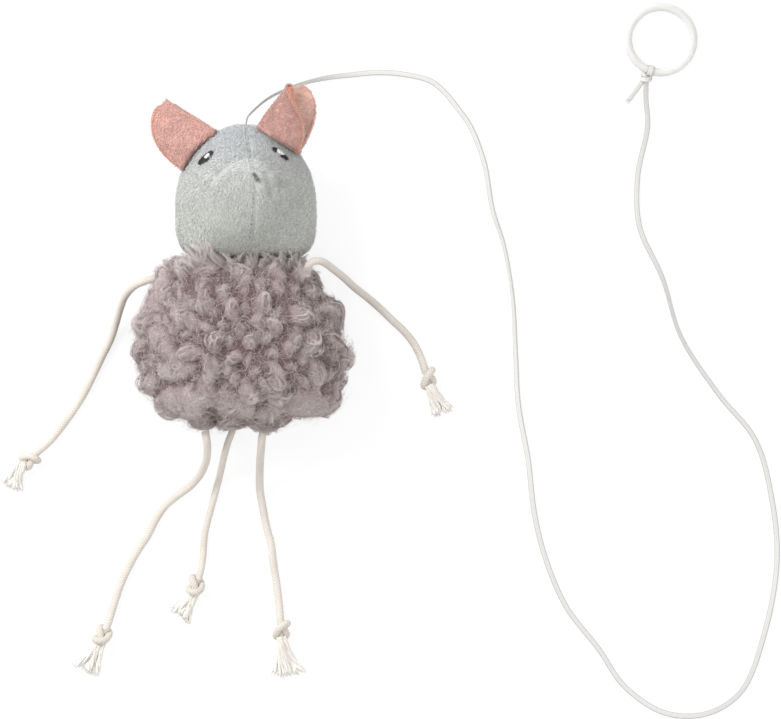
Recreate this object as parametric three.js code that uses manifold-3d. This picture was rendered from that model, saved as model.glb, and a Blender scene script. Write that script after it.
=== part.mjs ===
// A plush mouse for a cat, with five cord limbs and a long elastic string that ends in a finger ring.
// Millimetres. The mouse lies on its back on the floor, z = 0. +Z points up, +Y from body to head.
// The origin is the middle of the flat patch that the body rests on.
// Left and right are as seen from above, so they are the viewer's.
import * as THREE from 'three';
import { mergeVertices } from 'three/addons/utils/BufferGeometryUtils.js';
import Module from 'manifold-3d';

const wasm = await Module();
wasm.setup();

// Fits shared by all pieces
const gap = 0.3; // between pieces that touch
const coverThickness = 1.6; // backing cloth with its pile pressed flat
const fillingGap = 0.8; // between a cover and its stuffing
const restDepth = 0.5; // how far the stuffing flattens on the floor
const overrun = 5; // how far a cutting solid runs past what it cuts
const weldDistance = 0.0005; // points closer than this are one

// Body
const bodyHalfWidth = 45;
const bodyHalfLength = 35.8;
const bodyHalfDepth = 26;
const bodyRoundness = 2.5; // 2 is an ellipse in plan, and more is squarer
const furDepth = 5; // from the tops of the tufts down to the cloth that they grow from
const tuftSpacing = 12; // from one tuft to the next
const pressedRise_share = 0.55; // below this share of the depth the fur is pressed flat by the floor
const seatTuft_share = 0.7; // how far a limb's own tuft reaches, of the spacing
const neckTuft_share = 0.5; // how far the full fur at the neck reaches from the head, of the spacing

// Head
const headHalfWidth = 29.8;
const headCrownReach = 34.4; // from its centre to the crown
const headChinReach = 23.6; // from its centre to the neck seam
const headHalfDepth = 26.5;
const headOffset = 2.1; // to the right of the body's middle
const headSink = 1.4; // how far the chin presses into the body
const crownRoundness = 2;
const chinRoundness = 4.2;
const headTurn = 6.5; // degrees, of the centre seam and the snout to the right
const neckTilt = 6; // degrees each way

// Snout
const snoutReach = 12.5; // beyond the round of the head
const snoutPitch = 19; // degrees up towards the crown
const snoutSideSpread = 24; // degrees
const snoutChinSpread = 30;
const snoutCrownSpread = 14;
const snoutBluntness = 0.4;

// Ears, each a half oval of two layers folded in half
const earLength = 26.3; // along the fold
const earWidth = 21; // of each flap
const earRoundness = 2.6;
const earFoldRadius = 2.6; // outside, round the fold
const earOuterThickness = 1;
const earLiningThickness = 0.8;
const earRoot = 7; // how far the fold runs on inside the head before it is trimmed
const rightFlapAngles = [-4, -18, -32, -46, -64]; // degrees, from the root to the tip of the open flap
const earFlopDown = 15; // degrees
const earFlopUp = 35;

// Eyes and nose, stitched patches on the cover
const patchThickness = 0.5;
const eyeLength = 8.2;
const eyeHeight = 3.6;
const glintLength = 2.4;
const glintHeight = 1.7;
const noseLength = 3;
const noseHeight = 2.2;

// Places on the front of the head, as shares of its half width and of its reach to the crown
const leftEye_shares = [-0.5805, 0.6017];
const rightEye_shares = [0.4799, 0.6483];
const leftEar_shares = [-0.4027, 0.8895];
const rightEar_shares = [0.1544, 0.9244];

// Limb cords and their ends
const armDiameter = 3.2;
const legDiameter = 3.3;
const tailDiameter = 2.9;
const knotStrand = 2.1; // the cord as squeezed in a knot
const knotGap = 0.42; // between the turns of a knot
const yarnDiameter = 1.3; // of one frayed end, at its root
const yarnTipDiameter = 0.4;
const collarLength = 1.6; // of unfrayed cord past the knot

// String and ring
const stringDiameter = 2.2;
const stringKnotStrand = 0.8;
const endDiameter = 1.6;
const endLength = 11;
const loopThickness = 0.9;
const loopWidth = 2.4;
const ringBarDiameter = 3.5;
const ringOutsideDiameter = 31;
const ringCentreX = 175.8;
const ringCentreY = 128.2;
const ringTieAngle = -108; // degrees round the ring, where the string is tied

// Routes of the free cords, hand-chosen along the middle of each cord. The first point of a limb and
// of the string comes from the surface that they leave, and the last one of the string from its knot.
const leftArmRoute = [
  [-35.7, 27.8, 26], [-38.4, 27.2, 25.6], [-41.4, 26.2, 24.4], [-43.9, 25.1, 22.6], [-46.1, 23.5, 20.1],
  [-47.9, 21.5, 17], [-49.4, 19.2, 13.6], [-51.4, 13.9, 8], [-53.1, 8.4, 4], [-55.1, 2.5, 2.2],
  [-58.8, -5, 1.65], [-62.2, -12.2, 1.65], [-65.5, -18.9, 1.65], [-69.5, -25.6, 1.65],
  [-74.2, -32.3, 1.65], [-79.5, -39.1, 2.4], [-83.3, -42.9, 3.9], [-85.2, -44.5, 4.5],
  [-86.4, -45.5, 4.5],
];
const rightArmRoute = [
  [27.8, 31.9, 36.8], [29.2, 34.1, 38.6], [31.6, 35, 38.8], [34.5, 34.4, 36.9], [38.1, 31.9, 32.6],
  [42.7, 28.3, 24.6], [47.2, 24.2, 15.6], [52.9, 19.7, 7.2], [58, 15.3, 3], [63, 10.5, 1.75],
  [68.1, 5.7, 1.65], [71.7, 1.3, 2], [74.2, -3.2, 3.3], [75.8, -7.3, 4.4], [76.3, -8.9, 4.5],
  [76.8, -10.4, 4.5],
];
const leftLegRoute = [
  [-14.4, -39.5, 25.6], [-14.1, -42.2, 24], [-14.2, -45, 21.2], [-14.6, -47.9, 17.2],
  [-15.6, -50.8, 13], [-17.1, -53.9, 9.2], [-21.4, -59, 4.6], [-27.3, -63.3, 2.4], [-32.3, -67.6, 1.75],
  [-36.3, -73.5, 1.7], [-39.6, -80, 1.7], [-43.9, -86.5, 1.7], [-47.5, -93, 1.7], [-50.8, -100.2, 1.7],
  [-53.3, -107.4, 2.2], [-54.8, -112.6, 3.7], [-56, -116.4, 4.5], [-56.6, -118, 4.5],
];
const rightLegRoute = [
  [8.7, -39.5, 25.7], [8.4, -42.6, 23.8], [8.1, -45.8, 20.2], [7.8, -49, 15.6], [7.6, -52.8, 10.4],
  [7.5, -57.2, 5.8], [7.7, -61.9, 3], [8.9, -69.1, 1.75], [10.3, -76.4, 1.65], [12.2, -83.6, 1.65],
  [13.2, -91.6, 1.65], [14.3, -98.7, 1.65], [15.2, -105.4, 2.2], [15.8, -110.6, 3.7],
  [16.1, -114.2, 4.5], [16.2, -115.8, 4.5],
];
const tailRoute = [
  [-4.4, -37.6, 15.4], [-5.6, -40.6, 13.4], [-6.6, -43.9, 10.2], [-7.6, -47.5, 6.8], [-8.5, -51.4, 3.9],
  [-9.6, -56, 2.1], [-11.3, -62.6, 1.5], [-12.5, -66.8, 1.5], [-13.5, -70.6, 1.5], [-15.3, -77.7, 1.5],
  [-16, -83.5, 1.9], [-16.3, -88.6, 3], [-16.9, -93.2, 4.3], [-17.3, -95.2, 4.5],
  [-17.8, -97, 4.5],
];
const stringRoute = [
  [2.6, 94.9, 26], [5.9, 98.7, 22.6], [11.6, 103.4, 16.4], [19.7, 107.5, 8.8], [26.4, 110, 3.9],
  [36.1, 112.3, 1.3], [45.4, 113.4, 1.2], [56.3, 114.4, 1.2], [67, 113.8, 1.2], [78.8, 111, 1.2],
  [84.3, 106.9, 1.2], [90.5, 99.5, 1.2], [95.9, 91.7, 1.2], [101.8, 76.2, 1.2], [105.2, 57, 1.2],
  [110, 41.7, 1.2], [113.7, 19.9, 1.2], [114.9, -3.4, 1.2], [116.1, -25.2, 1.2],
  [120.1, -47.8, 1.2], [122.9, -71.4, 1.2], [127.8, -90.7, 1.2], [136.2, -110, 1.2],
  [149.9, -127.8, 1.2], [160.4, -143.1, 1.2], [177.4, -154.4, 1.2], [195.1, -154.8, 1.2],
  [209.6, -145.5, 1.2], [219.1, -122.1, 1.2], [224.6, -91.6, 1.2], [222.5, -64.9, 1.2],
  [215.5, -39.9, 1.2], [199.9, -20.4, 1.2], [184.2, 3.8, 1.2], [176.6, 28, 1.2],
  [166.9, 49.8, 1.2], [166.1, 70.6, 1.2], [170.5, 92, 1.3],
];

// Each limb: the share of the body's half width where it is sewn in, how high it sits there, its
// side, its cord and route, its number of tube steps, and how its frayed end turns and spreads.
const limbs = [
  { name: 'left_arm', seat_share: -0.755, rise_share: 0, side: 1, diameter: armDiameter,
    route: leftArmRoute, steps: 26, fringe: 10, turn: 24, spread: 56 },
  { name: 'right_arm', seat_share: 0.6, rise_share: 0.34, side: 1, diameter: armDiameter,
    route: rightArmRoute, steps: 26, fringe: 11.5, turn: 8, spread: 52 },
  { name: 'left_leg', seat_share: -0.33, rise_share: 0, side: -1, diameter: legDiameter,
    route: leftLegRoute, steps: 26, fringe: 12, turn: -6, spread: 48 },
  { name: 'right_leg', seat_share: 0.2, rise_share: 0, side: -1, diameter: legDiameter,
    route: rightLegRoute, steps: 24, fringe: 15.5, turn: 8, spread: 46 },
  { name: 'tail', seat_share: -0.07, rise_share: -0.38, side: -1, diameter: tailDiameter,
    route: tailRoute, steps: 22, fringe: 10.5, turn: -26, spread: 54 },
];

// Counts of facets
const skinAround = 32;
const skinRings = 9;
const furAround = 48;
const tuftCounts = [4, 6, 8, 12, 16, 24]; // for one row, each a fraction of furAround
const innerRings = 6;
const cordSides = 8;
const knotSides = 6;
const knotSteps = 34;
const stringSteps = 80;
const yarnCount = 8;
const yarnSides = 4;

const radians = THREE.MathUtils.degToRad;

// Materials

function cloth(color, roughness) {
  return new THREE.MeshStandardMaterial({ color, roughness, metalness: 0 });
}

const velour = cloth(0xbcc2c3, 0.95);
const stuffing = cloth(0xf2f2f0, 1);
const pinkPlush = cloth(0xdca898, 0.95);
const pinkLining = cloth(0xd2917f, 0.95);
const blackThread = cloth(0x161616, 0.7);
const whiteThread = cloth(0xf5f5f5, 0.7);
const greyThread = cloth(0x7d8585, 0.8);
const curlyFur = cloth(0xa59698, 1);
const cottonBraid = cloth(0xe9e2d2, 0.95);
const elastic = cloth(0xeeeeec, 0.8);
const clearPlastic = new THREE.MeshStandardMaterial({ color: 0xf0f0ec, roughness: 0.35, metalness: 0 });

// Geometry helpers

function signedVolume(geometry) {
  const place = geometry.attributes.position;
  const a = new THREE.Vector3();
  const b = new THREE.Vector3();
  const c = new THREE.Vector3();
  let sum = 0;
  for (let i = 0; i < geometry.index.count; i += 3) {
    a.fromBufferAttribute(place, geometry.index.getX(i));
    b.fromBufferAttribute(place, geometry.index.getX(i + 1));
    c.fromBufferAttribute(place, geometry.index.getX(i + 2));
    sum += a.dot(b.cross(c));
  }
  return sum;
}

// A geometry from points and triangles, turned right side out
function closedSurface(points, triangles) {
  const geometry = new THREE.BufferGeometry();
  geometry.setFromPoints(points);
  geometry.setIndex(triangles);
  if (signedVolume(geometry) < 0) {
    geometry.setIndex(triangles.reverse());
  }
  return geometry;
}

// A closed surface through rings of equally many points, from one pole to the other. Each quad between
// them splits along one way, or with valleys along its lower diagonal, so that high points stand alone.
function skinOver(firstPole, rings, lastPole, valleys = false) {
  const count = rings[0].length;
  const points = [firstPole, ...rings.flat(), lastPole];
  const at = (ring, i) => 1 + ring * count + (i % count);
  const last = points.length - 1;
  const triangles = [];
  for (let i = 0; i < count; i++) {
    triangles.push(0, at(0, i), at(0, i + 1));
    for (let ring = 0; ring + 1 < rings.length; ring++) {
      const [a, b, c, d] = [at(ring, i), at(ring + 1, i), at(ring + 1, i + 1), at(ring, i + 1)];
      const lower = points[a].length() + points[c].length() < points[b].length() + points[d].length();
      triangles.push(...(valleys && lower ? [a, b, c, a, c, d] : [a, b, d, d, b, c]));
    }
    triangles.push(at(rings.length - 1, i), last, at(rings.length - 1, i + 1));
  }
  return closedSurface(points, triangles);
}

// A sheet between two faces, each a grid of points, closed along its four edges
function sheetBetween(topGrid, bottomGrid) {
  const rows = topGrid.length;
  const columns = topGrid[0].length;
  const points = [...topGrid.flat(), ...bottomGrid.flat()];
  const top = (i, j) => i * columns + j;
  const bottom = (i, j) => rows * columns + i * columns + j;
  const triangles = [];
  const quad = (a, b, c, d) => triangles.push(a, b, c, a, c, d);
  for (let i = 0; i + 1 < rows; i++) {
    for (let j = 0; j + 1 < columns; j++) {
      quad(top(i, j), top(i + 1, j), top(i + 1, j + 1), top(i, j + 1));
      quad(bottom(i, j), bottom(i, j + 1), bottom(i + 1, j + 1), bottom(i + 1, j));
    }
    quad(top(i + 1, 0), top(i, 0), bottom(i, 0), bottom(i + 1, 0));
    quad(top(i, columns - 1), top(i + 1, columns - 1), bottom(i + 1, columns - 1), bottom(i, columns - 1));
  }
  for (let j = 0; j + 1 < columns; j++) {
    quad(top(0, j), top(0, j + 1), bottom(0, j + 1), bottom(0, j));
    quad(top(rows - 1, j + 1), top(rows - 1, j), bottom(rows - 1, j), bottom(rows - 1, j + 1));
  }
  return closedSurface(points, triangles);
}

// A round cord along a curve, with flat ends
function cordAlong(curve, diameter, sides, steps) {
  const outline = [];
  for (let i = 0; i < sides; i++) {
    const angle = (2 * Math.PI * (i + 0.5)) / sides;
    outline.push(new THREE.Vector2(Math.cos(angle), Math.sin(angle)).multiplyScalar(diameter / 2));
  }
  const section = new THREE.Shape(outline);
  return new THREE.ExtrudeGeometry(section, { steps, extrudePath: curve, bevelEnabled: false });
}

function smoothRoute(points) {
  return new THREE.CatmullRomCurve3(points, false, 'centripetal');
}

function asPoint(triple) {
  return new THREE.Vector3(...triple);
}

// Solids for cutting and joining

function solidOf(geometry) {
  const bare = new THREE.BufferGeometry();
  bare.setAttribute('position', geometry.attributes.position);
  bare.setIndex(geometry.index);
  const welded = mergeVertices(bare, weldDistance);
  const vertProperties = new Float32Array(welded.attributes.position.array);
  const triVerts = new Uint32Array(welded.index.array);
  return new wasm.Manifold(new wasm.Mesh({ numProp: 3, vertProperties, triVerts }));
}

function geometryOf(solid) {
  const mesh = solid.getMesh();
  const geometry = new THREE.BufferGeometry();
  geometry.setAttribute('position', new THREE.BufferAttribute(mesh.vertProperties, mesh.numProp));
  geometry.setIndex(new THREE.BufferAttribute(mesh.triVerts, 1));
  return geometry;
}

function cut(geometry, ...tools) {
  const solid = tools.reduce((rest, tool) => rest.subtract(solidOf(tool)), solidOf(geometry));
  return geometryOf(solid);
}

function join(...geometries) {
  const [first, ...others] = geometries.map(solidOf);
  return geometryOf(others.reduce((sum, other) => sum.add(other), first));
}

function named(name, geometry, material) {
  const mesh = new THREE.Mesh(geometry, material);
  mesh.name = name;
  return mesh;
}

// The stuffed forms, as the distance from the middle to the skin in a given direction

function planReach(x, y, halfWidth, halfLength, roundness) {
  const wide = (Math.abs(x) / halfWidth) ** roundness;
  const long = (Math.abs(y) / halfLength) ** roundness;
  return (wide + long) ** (1 / roundness);
}

function bodyRadius(way) {
  const plan = planReach(way.x, way.y, bodyHalfWidth, bodyHalfLength, bodyRoundness);
  return 1 / Math.hypot(plan, way.z / bodyHalfDepth);
}

// The cloth under the fur
function backingRadius(way) {
  return bodyRadius(way) - furDepth;
}

// The fur's tufts stand in level rows, one row for each ring of facets, with as many in each row as
// fit. Every other row is shifted by half a tuft. A limb comes out of a tuft of its own, and the fur
// closes round the neck.
function furRadius(way, seats) {
  const top = way.clone().multiplyScalar(bodyRadius(way));
  const atSeat = seats.some((seat) => top.distanceTo(seat.root.clone().sub(bodyCentre))
    < tuftSpacing * seatTuft_share);
  const fromHead = top.clone().add(bodyCentre).sub(headCentre);
  const offHead = fromHead.length() - headRadius(fromHead.clone().normalize());
  const atNeck = offHead < tuftSpacing * neckTuft_share;
  if (atSeat || atNeck || top.z < -bodyHalfDepth * pressedRise_share) {
    return bodyRadius(way);
  }
  const row = Math.round(skinRings * Math.acos(Math.abs(way.z)) / (Math.PI / 2));
  const girth = Math.PI * Math.hypot(top.x, top.y) * 2;
  const least = (best, count) => {
    return Math.abs(count * tuftSpacing - girth) < Math.abs(best * tuftSpacing - girth) ? count : best;
  };
  const tufts = tuftCounts.reduce(least);
  const turn = Math.atan2(way.y, way.x);
  const height_share = (1 + Math.cos(tufts * turn + row * Math.PI)) / 2;
  return backingRadius(way) + furDepth * height_share;
}

// The snout is a blunt cone, steeper towards the crown than towards the chin
function snoutHeight(way) {
  const pitch = radians(snoutPitch);
  const up = way.y * Math.cos(pitch) - way.z * Math.sin(pitch);
  const ahead = way.y * Math.sin(pitch) + way.z * Math.cos(pitch);
  const sideways = Math.atan2(way.x, ahead) / radians(snoutSideSpread);
  const upwards = Math.atan2(up, ahead) / radians(up > 0 ? snoutCrownSpread : snoutChinSpread);
  const away = Math.hypot(sideways, upwards, snoutBluntness) - snoutBluntness;
  return ahead > 0 ? snoutReach * Math.exp(-(away ** 1.4)) : 0;
}

function headRadius(worldWay) {
  const way = worldWay.clone().applyAxisAngle(new THREE.Vector3(0, 1, 0), -radians(headTurn));
  const towardsCrown = way.y > 0;
  const halfLength = towardsCrown ? headCrownReach : headChinReach;
  const roundness = towardsCrown ? crownRoundness : chinRoundness;
  const plan = planReach(way.x, way.y, headHalfWidth, halfLength, roundness);
  return 1 / Math.hypot(plan, way.z / headHalfDepth) + snoutHeight(way);
}

// The point on the front of the head at a place given in shares
function onHeadFront([side_share, crown_share]) {
  const x = side_share * headHalfWidth;
  const y = crown_share * headCrownReach;
  let low = 0;
  let high = 2 * (headHalfDepth + snoutReach);
  for (let i = 0; i < 40; i++) {
    const z = (low + high) / 2;
    const place = new THREE.Vector3(x, y, z);
    const inside = place.length() < headRadius(place.clone().normalize());
    low = inside ? z : low;
    high = inside ? high : z;
  }
  return new THREE.Vector3(x, y, low);
}

// A direction at an angle from a pole, turned by another angle round it
function wayFrom(pole, across, angle, turn) {
  const side = across.clone().applyAxisAngle(pole, turn);
  return pole.clone().multiplyScalar(Math.cos(angle)).addScaledVector(side, Math.sin(angle));
}

function ringOn(radiusIn, inset, pole, across, angle, around) {
  const ring = [];
  for (let i = 0; i < around; i++) {
    const way = wayFrom(pole, across, angle, (2 * Math.PI * i) / around);
    ring.push(way.multiplyScalar(radiusIn(way) - inset));
  }
  return ring;
}

// Half of a cover, from the pole to the open rim at the seam. Its inner face is the inside of the
// cloth, and its outer one is what grows on it, which for a plain cover is the same form.
function halfCover(outerRadius, clothRadius, pole, across, around) {
  const rings = [];
  for (let i = 1; i <= skinRings; i++) {
    rings.push(ringOn(outerRadius, 0, pole, across, (Math.PI / 2) * (i / skinRings), around));
  }
  for (let i = innerRings; i > 0; i--) {
    const angle = (Math.PI / 2) * (i / innerRings);
    rings.push(ringOn(clothRadius, coverThickness, pole, across, angle, around));
  }
  const outside = pole.clone().multiplyScalar(outerRadius(pole));
  const inside = pole.clone().multiplyScalar(clothRadius(pole) - coverThickness);
  const cover = skinOver(outside, rings, inside, outerRadius !== clothRadius);
  return cover.translate(...pole.clone().multiplyScalar(gap / 2));
}

// A whole form, set in by some distance, or out where that is negative
function wholeForm(radiusIn, inset, pole, across, ringCount, around) {
  const rings = [];
  for (let i = 1; i < ringCount; i++) {
    rings.push(ringOn(radiusIn, inset, pole, across, Math.PI * (i / ringCount), around));
  }
  const top = pole.clone().multiplyScalar(radiusIn(pole) - inset);
  const bottom = pole.clone().negate();
  return skinOver(top, rings, bottom.clone().multiplyScalar(radiusIn(bottom) - inset));
}

// A slab under a form that is drawn about its own middle, for the flat that it rests on
function floorUnder(height) {
  const size = 4 * bodyHalfWidth;
  const slab = new THREE.BoxGeometry(size, size, overrun);
  return slab.translate(0, 0, -height - overrun / 2);
}

const right = new THREE.Vector3(1, 0, 0);
const ahead = new THREE.Vector3(0, 1, 0);
const up = new THREE.Vector3(0, 0, 1);
const seamAcross = right.clone().applyAxisAngle(ahead, radians(headTurn));
const bodyHeight = bodyHalfDepth - restDepth;
const headHeight = headHalfDepth - restDepth;
const headCentre = new THREE.Vector3(headOffset, bodyHalfLength + headChinReach - headSink, headHeight);
const bodyCentre = new THREE.Vector3(0, 0, bodyHeight);
const neckPivot = new THREE.Vector3(headOffset, headCentre.y - headChinReach, headHeight);

// Head

function headForm(inset, ringCount) {
  return wholeForm(headRadius, inset, seamAcross, ahead, ringCount, skinAround);
}

function headPanel(pole) {
  return cut(halfCover(headRadius, headRadius, pole, ahead, skinAround), floorUnder(headHeight));
}

// A patch that follows the head over its outline, between two heights over the cover
function patchOnHead(centre, turn, outline, low) {
  const out = centre.clone().normalize();
  const along = right.clone().projectOnPlane(out).normalize().applyAxisAngle(out, radians(turn));
  const over = out.clone().cross(along);
  const lay = (share, height) => outline.map(([a, b]) => {
    const spot = centre.clone().addScaledVector(along, a * share).addScaledVector(over, b * share);
    const way = spot.normalize();
    return way.multiplyScalar(headRadius(way) + height);
  });
  const high = low + patchThickness;
  const middle = (height) => out.clone().multiplyScalar(headRadius(out) + height);
  return skinOver(middle(low), [lay(0.5, low), lay(1, low), lay(1, high), lay(0.5, high)], middle(high));
}

// An almond outline with pointed ends, or with a power of 1 an oval
function almond(length, height, power, count) {
  const outline = [];
  for (let i = 0; i < count; i++) {
    const angle = (2 * Math.PI * i) / count;
    const rise = Math.sign(Math.sin(angle)) * Math.abs(Math.sin(angle)) ** power;
    outline.push([(Math.cos(angle) * length) / 2, (rise * height) / 2]);
  }
  return outline;
}

function eye(name, centre, turn) {
  const lid = almond(eyeLength, eyeHeight, 1.6, 16);
  const glint = almond(glintLength, glintHeight, 1, 10);
  const over = 2 * gap + patchThickness;
  return [
    named(name, patchOnHead(centre, turn, lid, gap), blackThread),
    named(`${name}_glint`, patchOnHead(centre, turn, glint, over), whiteThread),
  ];
}

function nose() {
  const way = up.clone().applyAxisAngle(right, -radians(snoutPitch)).applyAxisAngle(ahead, radians(headTurn));
  const tip = way.clone().multiplyScalar(headRadius(way));
  return named('nose', patchOnHead(tip, 90, almond(noseLength, noseHeight, 1, 10), gap), greyThread);
}

// A value at a share of the way through evenly spaced ones
function between(values, share) {
  const place = share * (values.length - 1);
  const first = Math.min(Math.floor(place), values.length - 2);
  return THREE.MathUtils.lerp(values[first], values[first + 1], place - first);
}

// One layer of an ear, between two distances from the middle of the fold. In the ear's own frame
// the fold runs along +X, the flaps lie towards +Y and the front is +Z. Flap angles go from the
// root to the tip, and open the flaps towards the front or the back. Rows lie closer near the tip.
function earLayer(outerRadius, innerRadius, front, back) {
  const rows = 9;
  const flapColumns = 3;
  const foldColumns = 3;
  const face = (radius) => {
    const grid = [];
    for (let i = 0; i <= rows; i++) {
      const share = Math.sin((Math.PI / 2) * (i / rows));
      const along = -earRoot + (earLength + earRoot) * share;
      const reach = Math.max(along, 0) / earLength;
      const width = earWidth * Math.max(1 - reach ** earRoundness, 0) ** (1 / earRoundness);
      const frontAngle = radians(between(front, reach));
      const backAngle = radians(between(back, reach));
      const row = [];
      for (let j = -flapColumns - foldColumns; j <= flapColumns + foldColumns; j++) {
        const onFold = THREE.MathUtils.clamp((j + foldColumns) / (2 * foldColumns), 0, 1);
        const normal = THREE.MathUtils.lerp(1.5 * Math.PI + backAngle, Math.PI / 2 + frontAngle, onFold);
        const flapAngle = j > 0 ? frontAngle : backAngle;
        const out = width * Math.max(Math.abs(j) - foldColumns, 0) / flapColumns;
        const y = radius * Math.cos(normal) + out * Math.cos(flapAngle);
        const z = radius * Math.sin(normal) + out * Math.sin(flapAngle);
        row.push(new THREE.Vector3(along, y, z));
      }
      grid.push(row);
    }
    return grid;
  };
  return sheetBetween(face(outerRadius), face(innerRadius));
}

// The ear is trimmed to the head where it is sewn on, with room to flop about that line. Its group
// stands where the fold meets the head, which is also on the line of the flop.
function ear(name, foldStart, foldWay, flapWay, front, back) {
  const facing = foldWay.clone().cross(flapWay);
  const frame = new THREE.Matrix4().makeBasis(foldWay, flapWay, facing);
  const hinge = earHinge(foldStart, flapWay);
  const forward = -Math.sign(facing.z);
  const trims = [-earFlopDown, 0, earFlopUp / 3, (2 * earFlopUp) / 3, earFlopUp].map((flop) => {
    const turn = new THREE.Matrix4().makeRotationAxis(hinge, -forward * radians(flop));
    return headForm(-gap, 2 * skinRings).translate(...foldStart.clone().negate()).applyMatrix4(turn);
  });
  const shell = (outerRadius, thickness) => {
    const layer = earLayer(outerRadius, outerRadius - thickness, front, back).applyMatrix4(frame);
    return cut(layer, ...trims);
  };
  const liningRadius = earFoldRadius - earOuterThickness - gap;
  const group = new THREE.Group();
  group.position.copy(foldStart);
  group.add(
    named(`${name}_outer`, shell(earFoldRadius, earOuterThickness), pinkPlush),
    named(`${name}_lining`, shell(liningRadius, earLiningThickness), pinkLining),
  );
  return group;
}

// The line that an ear is sewn on along, level, from its fold to the far edge of its flaps
function earHinge(foldStart, flapWay) {
  const way = foldStart.clone().addScaledVector(flapWay, earWidth).normalize();
  return way.multiplyScalar(headRadius(way)).sub(foldStart).setZ(0).normalize();
}

function planWay(degrees) {
  return right.clone().applyAxisAngle(up, radians(degrees));
}

function head() {
  const group = new THREE.Group();
  group.position.copy(headCentre);
  group.add(
    named('head_left_panel', headPanel(seamAcross.clone().negate()), velour),
    named('head_right_panel', headPanel(seamAcross), velour),
    named('head_stuffing', headForm(coverThickness + fillingGap, 2 * innerRings), stuffing),
    ...eye('left_eye', onHeadFront(leftEye_shares), 42),
    ...eye('right_eye', onHeadFront(rightEye_shares), -34),
    nose(),
    ear('left_ear', onHeadFront(leftEar_shares), planWay(147.6), planWay(237.6), [4, 7], [-4, -6]),
    ear('right_ear', onHeadFront(rightEar_shares), planWay(57.8), planWay(-32.2), [5, 4], rightFlapAngles),
  );
  return group;
}

// Body

// Everything that trims the body: the head at both ends of its tilt, and the pockets of the limbs
function bodyTrims(seats) {
  const tilts = [-neckTilt, 0, neckTilt].map((angle) => {
    const fromNeck = headCentre.clone().sub(neckPivot).applyAxisAngle(up, radians(angle));
    const place = neckPivot.clone().add(fromNeck).sub(bodyCentre);
    return headForm(-gap, 2 * skinRings).rotateZ(radians(angle)).translate(...place);
  });
  const pockets = seats.map((seat) => {
    const ball = new THREE.SphereGeometry(seat.diameter / 2 + gap, 12, 8);
    return ball.translate(...seat.root.clone().sub(bodyCentre));
  });
  return [...tilts, ...pockets];
}

function body(seats) {
  const group = new THREE.Group();
  group.position.copy(bodyCentre);
  const trims = bodyTrims(seats);
  const filling = wholeForm(backingRadius, coverThickness + fillingGap, up, right, 2 * innerRings, furAround);
  const panel = (pole) => halfCover((way) => furRadius(way, seats), backingRadius, pole, right, furAround);
  group.add(
    named('body_front_panel', cut(panel(up), ...trims), curlyFur),
    named('body_back_panel', cut(panel(up.clone().negate()), floorUnder(bodyHeight), ...trims), curlyFur),
    named('body_stuffing', cut(filling, ...trims), stuffing),
  );
  return group;
}

// Knots

// An overhand knot pulled into a compact lump, along +X. The strand runs forward, back and forward
// again while it winds about the axis, and draws in to the axis at both ends. All shares are of the
// strand's pitch, which is its diameter and the gap between turns.
class OverhandKnot extends THREE.Curve {
  constructor(strand) {
    super();
    this.pitch = strand + knotGap;
  }

  getPoint(u) {
    const t = THREE.MathUtils.lerp(-knotSpan, knotSpan, u);
    const reach = Math.abs(t);
    const draw = 1 - THREE.MathUtils.smoothstep(reach, 1.376, 2.352);
    const bulge = knotCore_share + knotLobe_share * Math.exp(-(((reach - 1) / 0.866) ** 2));
    const radius = this.pitch * bulge * draw;
    const x = this.pitch * knotLength_share * (t ** 3 - 3 * t);
    return new THREE.Vector3(x, radius * Math.cos(knotWinding * t), -radius * Math.sin(knotWinding * t));
  }
}

const knotSpan = 2.1; // of the curve's parameter, each way
const knotWinding = 2.244; // radians for each unit of it
const knotCore_share = 0.808;
const knotLobe_share = 0.635;
const knotLength_share = 0.4605;
const knotHalf_share = knotLength_share * (knotSpan ** 3 - 3 * knotSpan);
const knotSlant_share = 0.14; // how far the slanting end faces reach past their middles

function overhandKnot(strand) {
  return cordAlong(new OverhandKnot(strand), strand, knotSides, knotSteps);
}

function knotHalfLength(strand) {
  return knotHalf_share * (strand + knotGap) + knotSlant_share * strand;
}

// Half of the knot's width, which is how high its axis lies over the floor
function knotHalfWidth(strand) {
  const lobe = (knotCore_share + knotLobe_share) * (strand + knotGap);
  return lobe + strand / 2;
}

// The least distance from the strand's surface to itself
function knotSelfGap(strand) {
  const points = new OverhandKnot(strand).getSpacedPoints(160);
  const apart = 2 * strand;
  const length = new OverhandKnot(strand).getLength();
  let least = length;
  points.forEach((a, i) => points.slice(i).forEach((b, j) => {
    if ((j * length) / 160 > apart) {
      least = Math.min(least, a.distanceTo(b) - strand);
    }
  }));
  return least;
}

// Limbs

// Where a limb is sewn into the body, a little proud of the cover so that it can lift
function limbSeat(limb) {
  const z = limb.rise_share * bodyHalfDepth;
  const plan = Math.sqrt(1 - limb.rise_share ** 2) ** bodyRoundness;
  const long = (plan - Math.abs(limb.seat_share) ** bodyRoundness) ** (1 / bodyRoundness);
  const place = new THREE.Vector3(limb.seat_share * bodyHalfWidth, limb.side * long * bodyHalfLength, z);
  const step = 0.01;
  const outness = (spot) => spot.length() / bodyRadius(spot.clone().normalize());
  const slope = [right, ahead, up].map((axis) => outness(place.clone().addScaledVector(axis, step)) - 1);
  const normal = asPoint(slope).normalize();
  const root = place.addScaledVector(normal, 0.35 * limb.diameter).add(bodyCentre);
  return { ...limb, root };
}

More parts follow.
